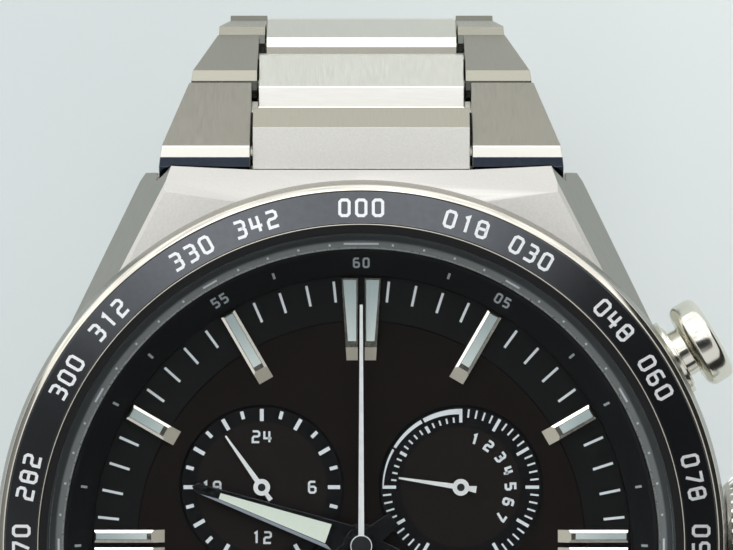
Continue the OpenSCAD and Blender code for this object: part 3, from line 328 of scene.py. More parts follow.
def case_faces(middles, normals):
    """0 blasted shelf, 1 brushed walls, 2 sloping flanks, 3 the bevel between shelf and flank and the shelf's
    sloping ends, told apart by how much a face looks up. 2 and 3 get darker copies of the steels as painted
    shade."""
    up = normals[:, 2]
    return np.select([up > FLAT_UP, up > FACET_UP, up > FLANK_UP], [0, 3, 2], 1)


# Blasting gives an even grey sheen, and a belt gives streaks along its run. Both are finer than a picture
# shows, so the grain of all steels here is drawn about 0.1 mm wide.
blasted = finish("blasted_steel", "#D6D4CE", 0.6, 1.0, 0.12, bump=0.18, roughs=(0.56, 0.64),
                 tints=("#CFCDC7", "#E8E6E0"))
# The facet and flank steels are darker copies of the blasted and brushed ones: painted shade.
shaded_facet_steel = finish("shaded_facet_steel", "#C8C6C0", 0.62, 1.0, 0.12, bump=0.18, roughs=(0.58, 0.66),
                     tints=("#C6C4BE", "#DBD9D3"))
brushed = finish("brushed_steel", "#D2D0C6", 0.4, 1.0, 0.08, stretch=(1, 14, 14), bump=0.25,
                 roughs=(0.32, 0.46), tints=("#CAC8BE", "#DCDAD0"))
flank = finish("shaded_flank_steel", "#A5A49D", 0.34, 1.0, 0.08, stretch=(12, 12, 1), bump=0.25,
               roughs=(0.28, 0.4), tints=("#9C9B94", "#AEADA6"))
turned = finish("turned_steel", "#A8A7A4", 0.3, 1.0, 0.1, stretch=(1, 1, 6), bump=0.15, roughs=(0.25, 0.36))
case_steels = [blasted, brushed, flank, shaded_facet_steel]
dressed("case_middle", "case", case_steels, case_faces, edge=CASE_EDGE)
dressed("case_back", "case", [brushed])
paint(turned, "lug_pins")

# Bezel ring: turned steel, pressed on the case round the glass. It is turned here from its profile. A wheel
# has polished the rim and rounded its corners, and the outer side keeps the fine marks of the lathe. The
# outer side's darker steel is painted shade.
BEZEL_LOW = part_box("bezel_ring")[0].z / MM
LIP_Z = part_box("bezel_ring")[1].z / MM
BEZEL_OUT_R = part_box("bezel_ring")[1].x / MM
RIM_Z = LIP_Z - 0.15
RIM_R = 20.3
RIM_EDGE_R = 20.35
CHAMFER_R = 20.65
CHAMFER_Z = RIM_Z - 0.2
SEAT_Z = RIM_Z - 0.8
LIP_R, LIP_OUT_R = 18.34, 18.42
BORE_R, GLASS_R = 17.5, 17.92
LEDGE = BEZEL_LOW + 1.2
GLASS_SEAT = LEDGE + 0.22
SKIRT_Z = BEZEL_LOW + 0.6
WALL_CLEAR = 0.05
POLISH_R = 0.06
CUT_SHARE = 0.45
TURN_STEPS = 288


def rounded(points, radius, steps=4, closed=True):
    """An outline whose corners are replaced by points of a quadratic curve, which leaves each side at the
    radius, or at a share of a short side. An open outline keeps its two ends."""
    out = []
    count = len(points)
    for k in range(count):
        if not closed and k in (0, count - 1):
            out.append(np.array(points[k], float))
            continue
        before, corner, after = (np.array(points[(k + d) % count], float) for d in (-1, 0, 1))
        cut = [min(radius, np.linalg.norm(p - corner) * CUT_SHARE) for p in (before, after)]
        start = corner + (before - corner) / np.linalg.norm(before - corner) * cut[0]
        end = corner + (after - corner) / np.linalg.norm(after - corner) * cut[1]
        for t in np.linspace(0, 1, steps):
            out.append((1 - t) ** 2 * start + 2 * t * (1 - t) * corner + t ** 2 * end)
    return np.array(out)


def revolved(name, profile, material, steps=TURN_STEPS, closed=True, turns=None, height=0, wall=None):
    """A surface of revolution from an outline of radius and distance along the axis, in millimetres. The axis
    is the dial's own, or level at a height and turned by each of turns in degrees from the 3 o'clock
    direction. wall gives a second material and a function that picks the parts of the outline with it."""
    a = np.linspace(0, 2 * math.pi, steps, endpoint=False)
    n = len(profile)
    base = np.stack([np.outer(np.cos(a), profile[:, 0]), np.outer(np.sin(a), profile[:, 0]),
                     np.tile(profile[:, 1], (steps, 1))], 2).reshape(-1, 3)
    ring = np.arange(steps)[:, None] * n
    near = np.arange(n if closed else n - 1)[None, :]
    ahead = (near + 1) % n
    onward = (ring + n) % (steps * n)
    quads = np.stack([ring + near, onward + near, onward + ahead, ring + ahead], 2).reshape(-1, 4)
    points, faces = [], []
    for turn in turns or [None]:
        placed = base
        if turn is not None:
            along = np.array([math.cos(math.radians(turn)), math.sin(math.radians(turn)), 0])
            axes = np.stack([np.cross([0, 0, 1], along), [0, 0, 1], along])
            placed = base @ axes + [0, 0, height]
        faces.append(quads + len(base) * len(points))
        points.append(placed)
    mesh = bpy.data.meshes.new(name)
    mesh.from_pydata(np.vstack(points) * MM, [], np.vstack(faces).tolist())
    mesh.materials.append(material)
    if wall:
        middle = (profile[near[0]] + profile[ahead[0]]) / 2
        mesh.materials.append(wall[0])
        pick = np.tile(wall[1](middle), steps * len(points))
        mesh.polygons.foreach_set("material_index", pick.astype(np.int32))
    smooth_by_angle(mesh, TURNED_SHARP)
    return new_object(name, mesh)


def bezel_side(middle):
    """The outer side of the bezel's outline, below its chamfer."""
    return (middle[:, 0] > CHAMFER_R - WALL_CLEAR) & (middle[:, 1] < CHAMFER_Z - WALL_CLEAR)


bezel_profile = [(BORE_R, BEZEL_LOW), (BEZEL_OUT_R, BEZEL_LOW), (BEZEL_OUT_R, SKIRT_Z),
                 (CHAMFER_R, CHAMFER_Z), (RIM_EDGE_R, RIM_Z), (RIM_R, RIM_Z), (RIM_R, SEAT_Z),
                 (LIP_OUT_R, SEAT_Z), (LIP_OUT_R, LIP_Z), (LIP_R, LIP_Z), (LIP_R, GLASS_SEAT),
                 (GLASS_R, GLASS_SEAT), (GLASS_R, LEDGE), (BORE_R, LEDGE)]
rim_steel = finish("rim_steel", "#D2CDC0", 0.1, 1.0, 0.3, bump=0.01, roughs=(0.08, 0.14))
# A darker steel for the outer side: painted shade.
shaded_side_steel = finish("bezel_side_shaded_steel", "#8C8980", 0.3, 1.0, 0.1, stretch=(1, 1, 8), bump=0.1,
                    roughs=(0.26, 0.36))
bezel_outline = rounded(bezel_profile, POLISH_R)
bezel = revolved("bezel_skin", bezel_outline, rim_steel, wall=(shaded_side_steel, bezel_side))
fitted(bezel, "case", "bezel_ring")

# Bezel insert: a black glazed ring, cambered outward and set into the bezel. Its plain figures give the
# angle in degrees where the real scale has its marks. They are thin metal plate, so they shine a little.
INSERT_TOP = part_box("bezel_insert")[1].z / MM
INSERT_R = 18.48
INSERT_WIDE = 1.74
INSERT_DROP = 0.14
PRINT_CLEAR = 0.004
FIGURE_R = 19.32
FIGURE_HIGH, FIGURE_STROKE = 1.06, 0.17
FIGURE_WIDE = 0.6
FIGURE_GAP = 0.14
INK = 0.02
HALF_TURN = (0, 18, 30, 48, 60, 78, 90, 108, 120, 138, 150, 168, 180)

# Strokes of the plain figures, in a box 0.6 wide and 1 high with its middle at the origin. CUT is what their
# corners are cut off by, and SHARPEST bounds how far a sharp corner reaches out.
CUT = 0.13
SHARPEST = 0.4
FRAME_PATH = [(CUT - 0.3, 0.5), (0.3 - CUT, 0.5), (0.3, 0.5 - CUT), (0.3, CUT - 0.5), (0.3 - CUT, -0.5),
              (CUT - 0.3, -0.5), (-0.3, CUT - 0.5), (-0.3, 0.5 - CUT), (CUT - 0.3, 0.5)]
SIX = [(0.28, 0.5), (CUT - 0.3, 0.5), (-0.3, 0.5 - CUT), (-0.3, CUT - 0.5), (CUT - 0.3, -0.5),
       (0.3 - CUT, -0.5), (0.3, CUT - 0.5), (0.3, 0.04 - CUT), (0.3 - CUT, 0.04), (-0.3, 0.04)]
STROKES = {
    "0": [FRAME_PATH],
    "1": [[(-0.14, 0.38), (0.06, 0.5), (0.06, -0.5)]],
    "2": [[(-0.3, 0.5), (0.3 - CUT, 0.5), (0.3, 0.5 - CUT), (0.3, 0.12), (0.3 - CUT, 0.02),
           (CUT - 0.3, 0.02), (-0.3, 0.02 - CUT), (-0.3, -0.5), (0.3, -0.5)]],
    "3": [[(-0.3, 0.5), (0.3 - CUT, 0.5), (0.3, 0.5 - CUT), (0.3, 0.14), (0.2, 0.02), (0.3, -0.1),
           (0.3, CUT - 0.5), (0.3 - CUT, -0.5), (-0.3, -0.5)], [(0.2, 0.02), (-0.14, 0.02)]],
    "4": [[(-0.3, 0.5), (-0.3, -0.14), (0.36, -0.14)], [(0.16, 0.5), (0.16, -0.5)]],
    "5": [[(0.3, 0.5), (-0.3, 0.5), (-0.3, 0.04), (0.3 - CUT, 0.04), (0.3, 0.04 - CUT), (0.3, CUT - 0.5),
           (0.3 - CUT, -0.5), (-0.3, -0.5)]],
    "6": [SIX],
    "7": [[(-0.3, 0.5), (0.3, 0.5), (0.3, 0.34), (-0.06, -0.5)]],
    "8": [FRAME_PATH, [(-0.3, 0.02), (0.3, 0.02)]],
    "9": [[(-x, -y) for x, y in SIX]],
}


def ribbon(points, width):
    """A path widened to a strip: each corner moves along the mean of its two side normals, lengthened so that
    the strip keeps its width. Gives its quads as an array of four corners each."""
    line = np.array(points, float)
    closed = np.allclose(line[0], line[-1])
    way = np.diff(line, axis=0)
    way /= np.linalg.norm(way, axis=1)[:, None]
    side = np.stack([-way[:, 1], way[:, 0]], 1)
    before = np.vstack([side[-1] if closed else side[0], side])
    after = np.vstack([side, side[0] if closed else side[-1]])
    mean = before + after
    mean /= np.linalg.norm(mean, axis=1)[:, None]
    reach = width / 2 / np.clip((mean * after).sum(1), SHARPEST, 1)
    left = line + mean * reach[:, None]
    right = line - mean * reach[:, None]
    return np.stack([right[:-1], right[1:], left[1:], left[:-1]], 1)


def figures(text, height, stroke):
    """The quads of a line of plain figures, its middle at the origin, in the units of height."""
    pitch = height * FIGURE_WIDE + stroke + height * FIGURE_GAP
    quads = []
    for index, sign in enumerate(text):
        shift = (index - (len(text) - 1) / 2) * pitch
        for stroke_path in STROKES[sign]:
            inner = (height - stroke) * np.array(stroke_path)
            quads.append(ribbon(inner + [shift, 0], stroke))
    return np.vstack(quads)


def turned_to(quads, clock, radius, upright=False, centre=(0, 0)):
    """Quads moved out to a radius and turned clockwise from 12 by clock degrees. Upright ones only move."""
    a = math.radians(clock)
    spin = np.array([[math.cos(a), -math.sin(a)], [math.sin(a), math.cos(a)]])
    place = np.array([math.sin(a), math.cos(a)]) * radius + np.array(centre)
    return (quads if upright else quads @ spin) + place


def around(labels, height, stroke, radius, upright=False, centre=(0, 0)):
    """Plain figures round a centre at a radius, from their clock directions and their texts."""
    return [turned_to(figures(text, height, stroke), clock, radius, upright, centre)
            for clock, text in labels.items()]


def printed(name, quads, z, thick, material, body, slope=None):
    """Quads raised from z to z + thick, in millimetres, as one mesh of thin prisms. slope gives a rise for
    each corner from its radius, where the ground isn't level."""
    quads = np.asarray(quads, float)
    area = np.cross(quads[:, 1] - quads[:, 0], quads[:, 2] - quads[:, 0])
    quads = np.where((area < 0)[:, None, None], quads[:, ::-1], quads)
    corners = quads.reshape(-1, 2)
    rise = slope(np.hypot(corners[:, 0], corners[:, 1])) if slope else np.zeros(len(corners))
    low = np.column_stack([corners, z + rise])
    high = low + [0, 0, thick]
    base = np.arange(len(quads))[:, None] * 4
    n = len(corners)
    faces = [base + n + [0, 1, 2, 3], base + [3, 2, 1, 0]]
    for k in range(4):
        after = (k + 1) % 4
        faces.append(np.hstack([base + k, base + after, base + after + n, base + k + n]))
    mesh = bpy.data.meshes.new(name)
    mesh.from_pydata(np.vstack([low, high]) * MM, [], np.vstack(faces).tolist())
    mesh.materials.append(material)
    return fitted(new_object(name, mesh), body)


def insert_fall(radius):
    """The insert's camber: its top falls in a straight line from its inner to its outer edge."""
    return -INSERT_DROP * (radius - INSERT_R) / INSERT_WIDE + PRINT_CLEAR


glazed = finish("black_plating", "#5F6164", 0.12, 1.0, 0.4, bump=0.01, tints=("#595B5E", "#65676A"))
figure_plate = finish("figure_plate", "#F1F3F2", 0.34, 1.0, 0.1, bump=0.05, roughs=(0.3, 0.4),
                      tints=("#EAEDEC", "#F8F9F8"))
paint(glazed, "bezel_insert")
places = HALF_TURN + tuple(360 - c for c in HALF_TURN[1:-1])
bezel_quads = around({c: f"{c:03d}" for c in places}, FIGURE_HIGH, FIGURE_STROKE, FIGURE_R)
printed("bezel_figures", np.vstack(bezel_quads), INSERT_TOP, INK, figure_plate, "case",
        insert_fall)

# Glass: flat sapphire with a polished bevel, held by a black rubber ring. Its coating leaves little
# reflection, which the low index stands for, and it lets light straight through to the dial.
COATED_INDEX = 1.1
sapphire, tree, shader = new_material("sapphire", "#FFFFFF", 0.0)
shader.inputs["Transmission Weight"].default_value = 1.0
shader.inputs["IOR"].default_value = COATED_INDEX
rays = add(tree, "ShaderNodeLightPath")
passing = add(tree, "ShaderNodeMath", {0: rays.outputs["Is Shadow Ray"], 1: rays.outputs["Is Diffuse Ray"]},
              operation="MAXIMUM")
clear = add(tree, "ShaderNodeBsdfTransparent")
mixed = add(tree, "ShaderNodeMixShader", {0: passing.outputs[0], 1: shader.outputs[0], 2: clear.outputs[0]})
tree.links.new(mixed.outputs[0], tree.nodes["Material Output"].inputs["Surface"])
paint(sapphire, "crystal")
rubber = finish("black_rubber", "#0E0E0F", 0.6, 0.0, 0.15, shine=0.2, bump=0.2, roughs=(0.5, 0.7))
paint(rubber, "crystal_gasket", "case_back_gasket", "tube_seals")

# Scale ring: dark satin metal under the edge of the glass, with turned edges, a raised dot every minute, a
# dash every five and a longer one at 12. The glint of the turned edges is painted as two bright bands.
# Satin blurs what it mirrors to an even grey.
SCALE_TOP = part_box("scale_ring")[1].z / MM
SCALE_THICK = 0.2
SCALE_INK = 0.03
ZONE_R = 17.46
ZONE_SOFT = 0.06
DOT_R = 17.28
DOT_HALF = 0.06
DASH_HALF, LONG_HALF, DASH_THICK = 0.45, 1.0, 0.055
# Radius and width of each band of painted glint on the turned edges
GLINT_BANDS = ((17.01, 0.09), (17.8, 0.04))
EDGE_STEPS = 180


def radius_from(tree, centre=(0, 0)):
    """Distance of a point from a centre in the dial's plane, in metres."""
    place = add(tree, "ShaderNodeTexCoord")
    flat = add(tree, "ShaderNodeVectorMath", {0: place.outputs["Object"], 1: (1, 1, 0)}, operation="MULTIPLY")
    away = add(tree, "ShaderNodeVectorMath", {0: flat.outputs[0], 1: (centre[0] * MM, centre[1] * MM, 0)},
               operation="DISTANCE")
    return away.outputs["Value"]


def step(tree, value, edge, width=0.03):
    """0 below the edge and 1 above it, in millimetres, with a narrow ramp."""
    return add(tree, "ShaderNodeMapRange",
               {0: value, 1: (edge - width) * MM, 2: (edge + width) * MM, 3: 0.0, 4: 1.0}).outputs[0]


def band(clock0, clock1, inner0, inner1, outer, steps, centre=(0, 0)):
    """A band along an arc from clock0 to clock1: its outer edge keeps its radius, its inner one runs from
    inner0 to inner1."""
    a = np.radians(np.linspace(clock0, clock1, steps + 1))
    sweep = np.stack([np.sin(a), np.cos(a)], 1)
    near = sweep * np.linspace(inner0, inner1, steps + 1)[:, None]
    far = sweep * outer
    return np.stack([near[:-1], near[1:], far[1:], far[:-1]], 1) + np.array(centre)


def scale_mark(half_wide, half_high, clock):
    """A small rectangle on the dot circle, square to the radius."""
    corners = np.array([[(-half_wide, -half_high), (half_wide, -half_high), (half_wide, half_high),
                         (-half_wide, half_high)]])
    return turned_to(corners, clock, DOT_R)


satin, tree, shader = new_material("satin_grey", "#686C6C", 0.42, 1.0)
grain(tree, shader, 0.1, bump=0.1, roughs=(0.35, 0.5))
zones = mix(tree, step(tree, radius_from(tree), ZONE_R, ZONE_SOFT), "#7E8281", "#4A4E4E")
tree.links.new(zones, shader.inputs["Base Color"])
# A brighter steel for the glint of the turned edges: painted highlight.
edge_glint = finish("painted_edge_glint", "#9CA19D", 0.3, 1.0, 0.1, bump=0.05, roughs=(0.25, 0.35),
                     tints=("#92978F", "#A8ADA9"))
silver_print = finish("silver_print", "#C9CFD1", 0.42, 0.0, 0.1, bump=0.05, tints=("#BFC6C8", "#D3D9DA"))
paint(satin, "scale_ring")
dots = [scale_mark(DOT_HALF, DOT_HALF, c) for c in range(0, 360, 6) if c % 30]
dashes = [scale_mark(DASH_HALF if c else LONG_HALF, DASH_THICK, c) for c in range(0, 360, 30)]
edges = [band(0, 360, r, r, r + wide, EDGE_STEPS) for r, wide in GLINT_BANDS]
printed("scale_dots", np.vstack(dots + dashes), SCALE_TOP, SCALE_INK, silver_print, "case")
printed("scale_edge_glints", np.vstack(edges), SCALE_TOP, SCALE_INK, edge_glint, "case")

# Flange ring: moulded black plastic, matt, that stands on the rim of the dial and slopes up to the scale
# ring, with small grey figures at the three signal marks and fine ticks between.
DIAL_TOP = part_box("dial_plate")[1].z / MM
FLANGE_R = 15.5
FLANGE_WIDE = 1.25
FLANGE_FOOT = 0.25
FLANGE_STEP = 0.1
FLANGE_HEAD = SCALE_TOP - SCALE_THICK - FLANGE_STEP - DIAL_TOP
FLANGE_CLEAR = 0.005
SIGNALS = {-30: "55", 0: "60", 30: "05"}
SIGNAL_R = 16.2
SIGNAL_HIGH, SIGNAL_STROKE = 0.6, 0.11
BETWEEN_R = (16.05, 16.4)
BETWEEN_WIDE = 0.14


def flange_rise(radius):
    """Height of the flange's slope over the dial: a straight line from its inner to its outer edge."""
    return FLANGE_FOOT + (FLANGE_HEAD - FLANGE_FOOT) * (radius - FLANGE_R) / FLANGE_WIDE + FLANGE_CLEAR


def ticks(clocks, r0, r1, width, centre=(0, 0)):
    """Radial marks as quads, one for each clock direction, from radius r0 to r1."""
    half = width / 2
    bar = np.array([[(-half, r0), (half, r0), (half, r1), (-half, r1)]], float)
    return np.vstack([turned_to(bar, clock, 0, centre=centre) for clock in clocks])


moulded = finish("black_moulding", "#18191A", 0.38, 0.0, 0.2, shine=0.14, bump=0.05, roughs=(0.32, 0.45),
                 tints=("#141516", "#1A1B1C"))
grey_print = finish("grey_print", "#9AA1A3", 0.5, 0.0, 0.1, bump=0.05, tints=("#929A9C", "#A4ABAD"))
paint(moulded, "flange_ring")
signals = around(SIGNALS, SIGNAL_HIGH, SIGNAL_STROKE, SIGNAL_R)
between_clocks = [hand * c for c in HALF_TURN[1:] if c not in SIGNALS for hand in (-1, 1)]
between = ticks(between_clocks, *BETWEEN_R, BETWEEN_WIDE)
printed("flange_figures", np.vstack(signals + [between]), DIAL_TOP, INK, grey_print, "case",
        flange_rise)

# Dial: a thin plate, lacquered dark brown over the light cell that it lies on and black on the outer track.
# The sunk subdials have a black ring for their ticks, and fine turned grooves that glint at a slant.
SUB_AT = 6.605
SUB_TURN = {"day": 150, "function": 30, "counter": 270}
SUB_CENTRES = {name: (SUB_AT * math.cos(math.radians(a)), SUB_AT * math.sin(math.radians(a)))
               for name, a in SUB_TURN.items()}
SUB_RING_R = {"day": 3.75, "function": 3.45, "counter": 3.6}
SUB_R = 4.75
SUB_FLOOR = DIAL_TOP - 0.2
TRACK_R = 12.9
GROOVE = 0.16
GROOVE_DEPTH = 0.01
GROOVE_STRENGTH = 0.06
MINUTE_R = (14.0, 15.2)
MINUTE_WIDE = 0.145
SIGN_R, WEEK_R = 2.9, 2.86
DAY_SIGNS = {0: "24", 90: "6", 180: "12", 270: "18"}
COUNTER_SIGNS = {0: "60", 90: "15", 180: "30", 270: "45"}
WEEK_FROM, WEEK_PITCH = 16, 18.3
WEEK_SIGNS = {WEEK_FROM + WEEK_PITCH * k: str(k + 1) for k in range(7)}
# Height and stroke of the signs, and inner end and width of the long and the short marks, of each subdial
DAY_SIZE, WEEK_SIZE, COUNTER_SIZE = (0.74, 0.12), (0.68, 0.14), (0.7, 0.12)
DAY_LONG, DAY_SHORT = (3.8, 0.22), (4.05, 0.2)
FUNCTION_LONG, FUNCTION_SHORT = (3.72, 0.18), (4.02, 0.1)
COUNTER_LONG, COUNTER_SHORT = (3.8, 0.18), (4.1, 0.12)
MARK_R = 4.5
HOURS = [30 * k for k in range(12)]
# The charge scale of the right subdial: its start, the gap at the ends of its bars, where the first bar's
# inner edge starts and ends, how much further in each next one lies, and the inner end of its long marks
CHARGE_FROM = 270
CHARGE_GAP = 0.9
CHARGE_R = (4.43, 4.37)
CHARGE_GROWTH = 0.09
CHARGE_LONG_R = 3.6
CHARGE_STEPS = 14


def sub_marks(clocks, size, name, outer=MARK_R):
    """Radial marks of a subdial, from their inner end and width out to a radius."""
    return ticks(clocks, size[0], outer, size[1], SUB_CENTRES[name])


lacquer, tree, shader = new_material("dial_lacquer", "#241A18", 0.4, shine=0.12)
colour = mix(tree, step(tree, radius_from(tree), TRACK_R), "#0F0A08", "#0F1010")
grooves = None
for name, centre in SUB_CENTRES.items():
    away = radius_from(tree, centre)
    floor_colour = mix(tree, step(tree, away, SUB_RING_R[name]), "#171412", "#0B0C0D")
    colour = mix(tree, step(tree, away, SUB_R), floor_colour, colour)
    wave = add(tree, "ShaderNodeMath", {0: away, 1: 2 * math.pi / (GROOVE * MM)}, operation="MULTIPLY")
    rings = add(tree, "ShaderNodeMath", {0: wave.outputs[0]}, operation="SINE")
    within = add(tree, "ShaderNodeMath", {0: away, 1: SUB_R * MM}, operation="LESS_THAN")
    part = add(tree, "ShaderNodeMath", {0: rings.outputs[0], 1: within.outputs[0]}, operation="MULTIPLY")
    grooves = part if grooves is None else add(
        tree, "ShaderNodeMath", {0: grooves.outputs[0], 1: part.outputs[0]}, operation="ADD")
raised = add(tree, "ShaderNodeBump",
             {"Height": grooves.outputs[0], "Strength": GROOVE_STRENGTH, "Distance": GROOVE_DEPTH * MM})
tree.links.new(raised.outputs[0], shader.inputs["Normal"])
tree.links.new(colour, shader.inputs["Base Color"])
paint(lacquer, "dial_plate")
minute_clocks = [c for c in range(0, 360, 6) if c % 30]
printed("minute_ticks", ticks(minute_clocks, *MINUTE_R, MINUTE_WIDE), DIAL_TOP, INK, silver_print, "case")

day_marks = [sub_marks(HOURS, DAY_LONG, "day"), sub_marks([c + 15 for c in HOURS], DAY_SHORT, "day")]
day_marks += around(DAY_SIGNS, *DAY_SIZE, SIGN_R, True, SUB_CENTRES["day"])
printed("day_figures", np.vstack(day_marks), SUB_FLOOR, INK, silver_print, "case")

charge_clocks = [CHARGE_FROM + 6 * k for k in range(1, 15) if k % 5]
charge_out = FUNCTION_SHORT[0]
function_marks = [sub_marks([6 * k for k in range(46) if k % 5], FUNCTION_SHORT, "function"),
                  sub_marks(HOURS[:10], FUNCTION_LONG, "function"),
                  sub_marks(charge_clocks, (FUNCTION_LONG[0], FUNCTION_SHORT[1]), "function", charge_out),
                  sub_marks(HOURS[10:], (CHARGE_LONG_R, FUNCTION_LONG[1]), "function", charge_out)]
for k in range(3):
    clock0, clock1 = CHARGE_FROM + 30 * k + CHARGE_GAP, CHARGE_FROM + 30 * (k + 1) - CHARGE_GAP
    inner0, inner1 = (r - CHARGE_GROWTH * k for r in CHARGE_R)
    function_marks.append(band(clock0, clock1, inner0, inner1, MARK_R, CHARGE_STEPS, SUB_CENTRES["function"]))
function_marks += around(WEEK_SIGNS, *WEEK_SIZE, WEEK_R, False, SUB_CENTRES["function"])
printed("function_figures", np.vstack(function_marks), SUB_FLOOR, INK, silver_print, "case")

counter_marks = [sub_marks([6 * k for k in range(60) if k % 5], COUNTER_SHORT, "counter"),
                 sub_marks(HOURS, COUNTER_LONG, "counter")]
counter_marks += around(COUNTER_SIGNS, *COUNTER_SIZE, SIGN_R, True, SUB_CENTRES["counter"])
printed("counter_figures", np.vstack(counter_marks), SUB_FLOOR, INK, silver_print, "case")

# Hour markers: faceted brass bars set on the dial, nickel plated and polished, with a satin slope at their
# inner end and a filling of pale luminous paint, which dries to a fine chalky skin.
SLOPE_IN = 0.5
SLOPE_UP = 0.1
FILL_R, FILL_SOFT = 12.6, 1.8


def marker_faces(middles, normals):
    """1 the satin slope at a marker's inner end, which faces the middle of the dial, 0 the rest."""
    inward = -(normals * middles)[:, :2].sum(1) / np.hypot(middles[:, 0], middles[:, 1])
    return (inward > SLOPE_IN) & (normals[:, 2] > SLOPE_UP)


nickel = finish("polished_nickel", "#EAE7DA", 0.14, 1.0, 0.2, bump=0.01, roughs=(0.1, 0.18))
satin_nickel = finish("satin_nickel", "#C4BFAE", 0.42, 0.5, 0.1, bump=0.03, roughs=(0.38, 0.46),
                      tints=("#BDB8A7", "#CBC6B6"))
lume, tree, shader = new_material("luminous_paint", "#ABBAB7", 0.6)
grain(tree, shader, 0.07, bump=0.12)
paler = mix(tree, step(tree, radius_from(tree), FILL_R, FILL_SOFT), "#C6D0CA", "#9AA8A6")
tree.links.new(paler, shader.inputs["Base Color"])
dressed("hour_markers", "case", [nickel, satin_nickel], marker_faces, edge=0)
paint(lume, "marker_lume")

# Hands: stamped blades at the hour and the minute, dark plated and polished, with a pale filling and a
# lighter strip along one side, painted light for the lit facet of the ridged blade, and fine silvery needles
# elsewhere with a dark disc on the hub, which on the small hands is painted shade in the hole round the
# arbor. They sit on their arbors.
BLADE_EDGE = 0.04
# Thickness and outline of the lighter strip, which is painted light for the lit facet.
FACET_INK = 0.01
FACET_START = [(-0.84, 1.5), (-0.62, 1.9)]
FACET_TIP = [(-0.19, -1.1), (-0.27, 0)]
# Direction at rest and length of each blade, and where its filling starts and ends and how wide it is there
HANDS = {"hour": (289.2, 9.7, (2.0, 8.6), (1.15, 0.34)), "minute": (231, 13.6, (2.6, 12.6), (0.95, 0.3))}
CHRONO_CAP_R = 0.57
SUB_SHADE_R = 0.22
CAP_HOLE_R = 0.001
CAP_STEPS = 40


def hub_disc(name, radius, centre, node, body):
    """A small dark disc on a hand's hub, which leaves the hub showing as a ring. On the small hands it is
    painted shade in the hole round the arbor.
    """
    disc = band(0, 360, CAP_HOLE_R, CAP_HOLE_R, radius, CAP_STEPS, centre)
    return printed(name, disc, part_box(node)[1].z / MM, INK, cap_and_hole_shade, body)


dark_blade = finish("dark_hand_plate", "#3A3D3F", 0.2, 1.0, 0.2, bump=0.02, roughs=(0.16, 0.26),
                    tints=("#343739", "#434648"))
lit_facet_paint = finish("painted_lit_facet", "#7C858C", 0.3, 0.0, 0.2, bump=0.02, tints=("#747D84", "#878F96"))
needle = finish("silver_hand_plate", "#DFE2E0", 0.42, 1.0, 0.3, bump=0.01, roughs=(0.4, 0.46),
                tints=("#D9DCDA", "#E6E9E7"))
hand_lume = finish("hand_luminous_paint", "#C6D0C2", 0.6, 0.0, 0.07, bump=0.12, tints=("#BEC8BA", "#CED8CA"))
cap_and_hole_shade = finish("cap_and_hole_shade", "#141516", 0.3, 0.0, 0.1, bump=0.03, tints=("#101112", "#1A1B1D"))
paint(needle, "chrono_hand", "day_hand", "function_hand", "counter_hand")
for name, (clock, length, (r0, r1), (wide0, wide1)) in HANDS.items():
    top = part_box(f"{name}_hand")[1].z / MM
    wedge = np.array([[(-wide0 / 2, r0), (wide0 / 2, r0), (wide1 / 2, r1), (-wide1 / 2, r1)]], float)
    facet = np.array([FACET_START + [(x, length + y) for x, y in FACET_TIP]], float)
    dressed(f"{name}_hand", name, [dark_blade], edge=BLADE_EDGE)
    printed(f"{name}_fill", turned_to(wedge, clock, 0), top, INK, hand_lume, name)
    printed(f"{name}_facet", turned_to(facet, clock, 0), top, FACET_INK, lit_facet_paint, name)
hub_disc("chrono_cap", CHRONO_CAP_R, (0, 0), "chrono_hand", "chrono")
# On the small hands the dark disc is painted shade in the hole round the arbor.
for name, centre in SUB_CENTRES.items():
    hub_disc(f"{name}_cap", SUB_SHADE_R, centre, f"{name}_hand", name)

# Date ring: painted white, with a plain black figure for each day, behind the window between 4 and 5. It lies
# on the movement, and a motor of its own turns it.
DAYS = 31
DATE_CLOCK = 135
DATE_R = 11.25
DATE_HIGH, DATE_STROKE = 1.0, 0.15
date_white = finish("date_paint", "#E9E9E4", 0.5, 0.0, 0.2, bump=0.03, tints=("#E3E3DD", "#EFEFEA"))
black_print = finish("black_print", "#17181A", 0.5, 0.0, 0.1, bump=0.03, tints=("#131416", "#1E2022"))
paint(date_white, "date_ring")
date_labels = {DATE_CLOCK + k * 360 / DAYS: str(k + 1) for k in range(DAYS)}
date_quads = around(date_labels, DATE_HIGH, DATE_STROKE, DATE_R)
printed("date_figures", np.vstack(date_quads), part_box("date_ring")[1].z / MM, INK, black_print, "date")

# Movement: nickel-plated brass plates, gilt wheels, a green board, copper coils and a steel cell, stacked
# behind the light cell inside a plastic ring.
WORKS_GRAIN = 0.15
WORKS_SPREAD = (-0.06, 0.08)
# Colour, roughness, metallic value and nodes of each material
WORKS = {
    "solar_film": ("#2A171C", 0.3, 0.0, ("solar_cell",)),
    "spacer_plastic": ("#85888C", 0.55, 0.0, ("movement_ring",)),
    "nickelled_brass": ("#B5AF9F", 0.3, 1.0, ("main_plate", "train_bridge")),
    "board_mask": ("#1F5A35", 0.35, 0.0, ("circuit_board",)),
    "cell_can": ("#BFC1C3", 0.25, 1.0, ("power_cell",)),
    "copper_wire": ("#B4622F", 0.35, 1.0, ("motor_coils",)),
    "ferrite_block": ("#3A3A40", 0.6, 0.0, ("antenna",)),
    "gilt_brass": ("#C9A24E", 0.28, 1.0, ("hour_wheel", "minute_wheel")),
    "works_steel": ("#9C9C9A", 0.3, 1.0, ("crown_stem", "setting_lever", "pusher_springs", "crown_tube")),
}
for name, (code, rough, metal, members) in WORKS.items():
    roughs = [rough + more for more in WORKS_SPREAD]
    paint(finish(name, code, rough, metal, WORKS_GRAIN, bump=0.08, roughs=roughs), *members)

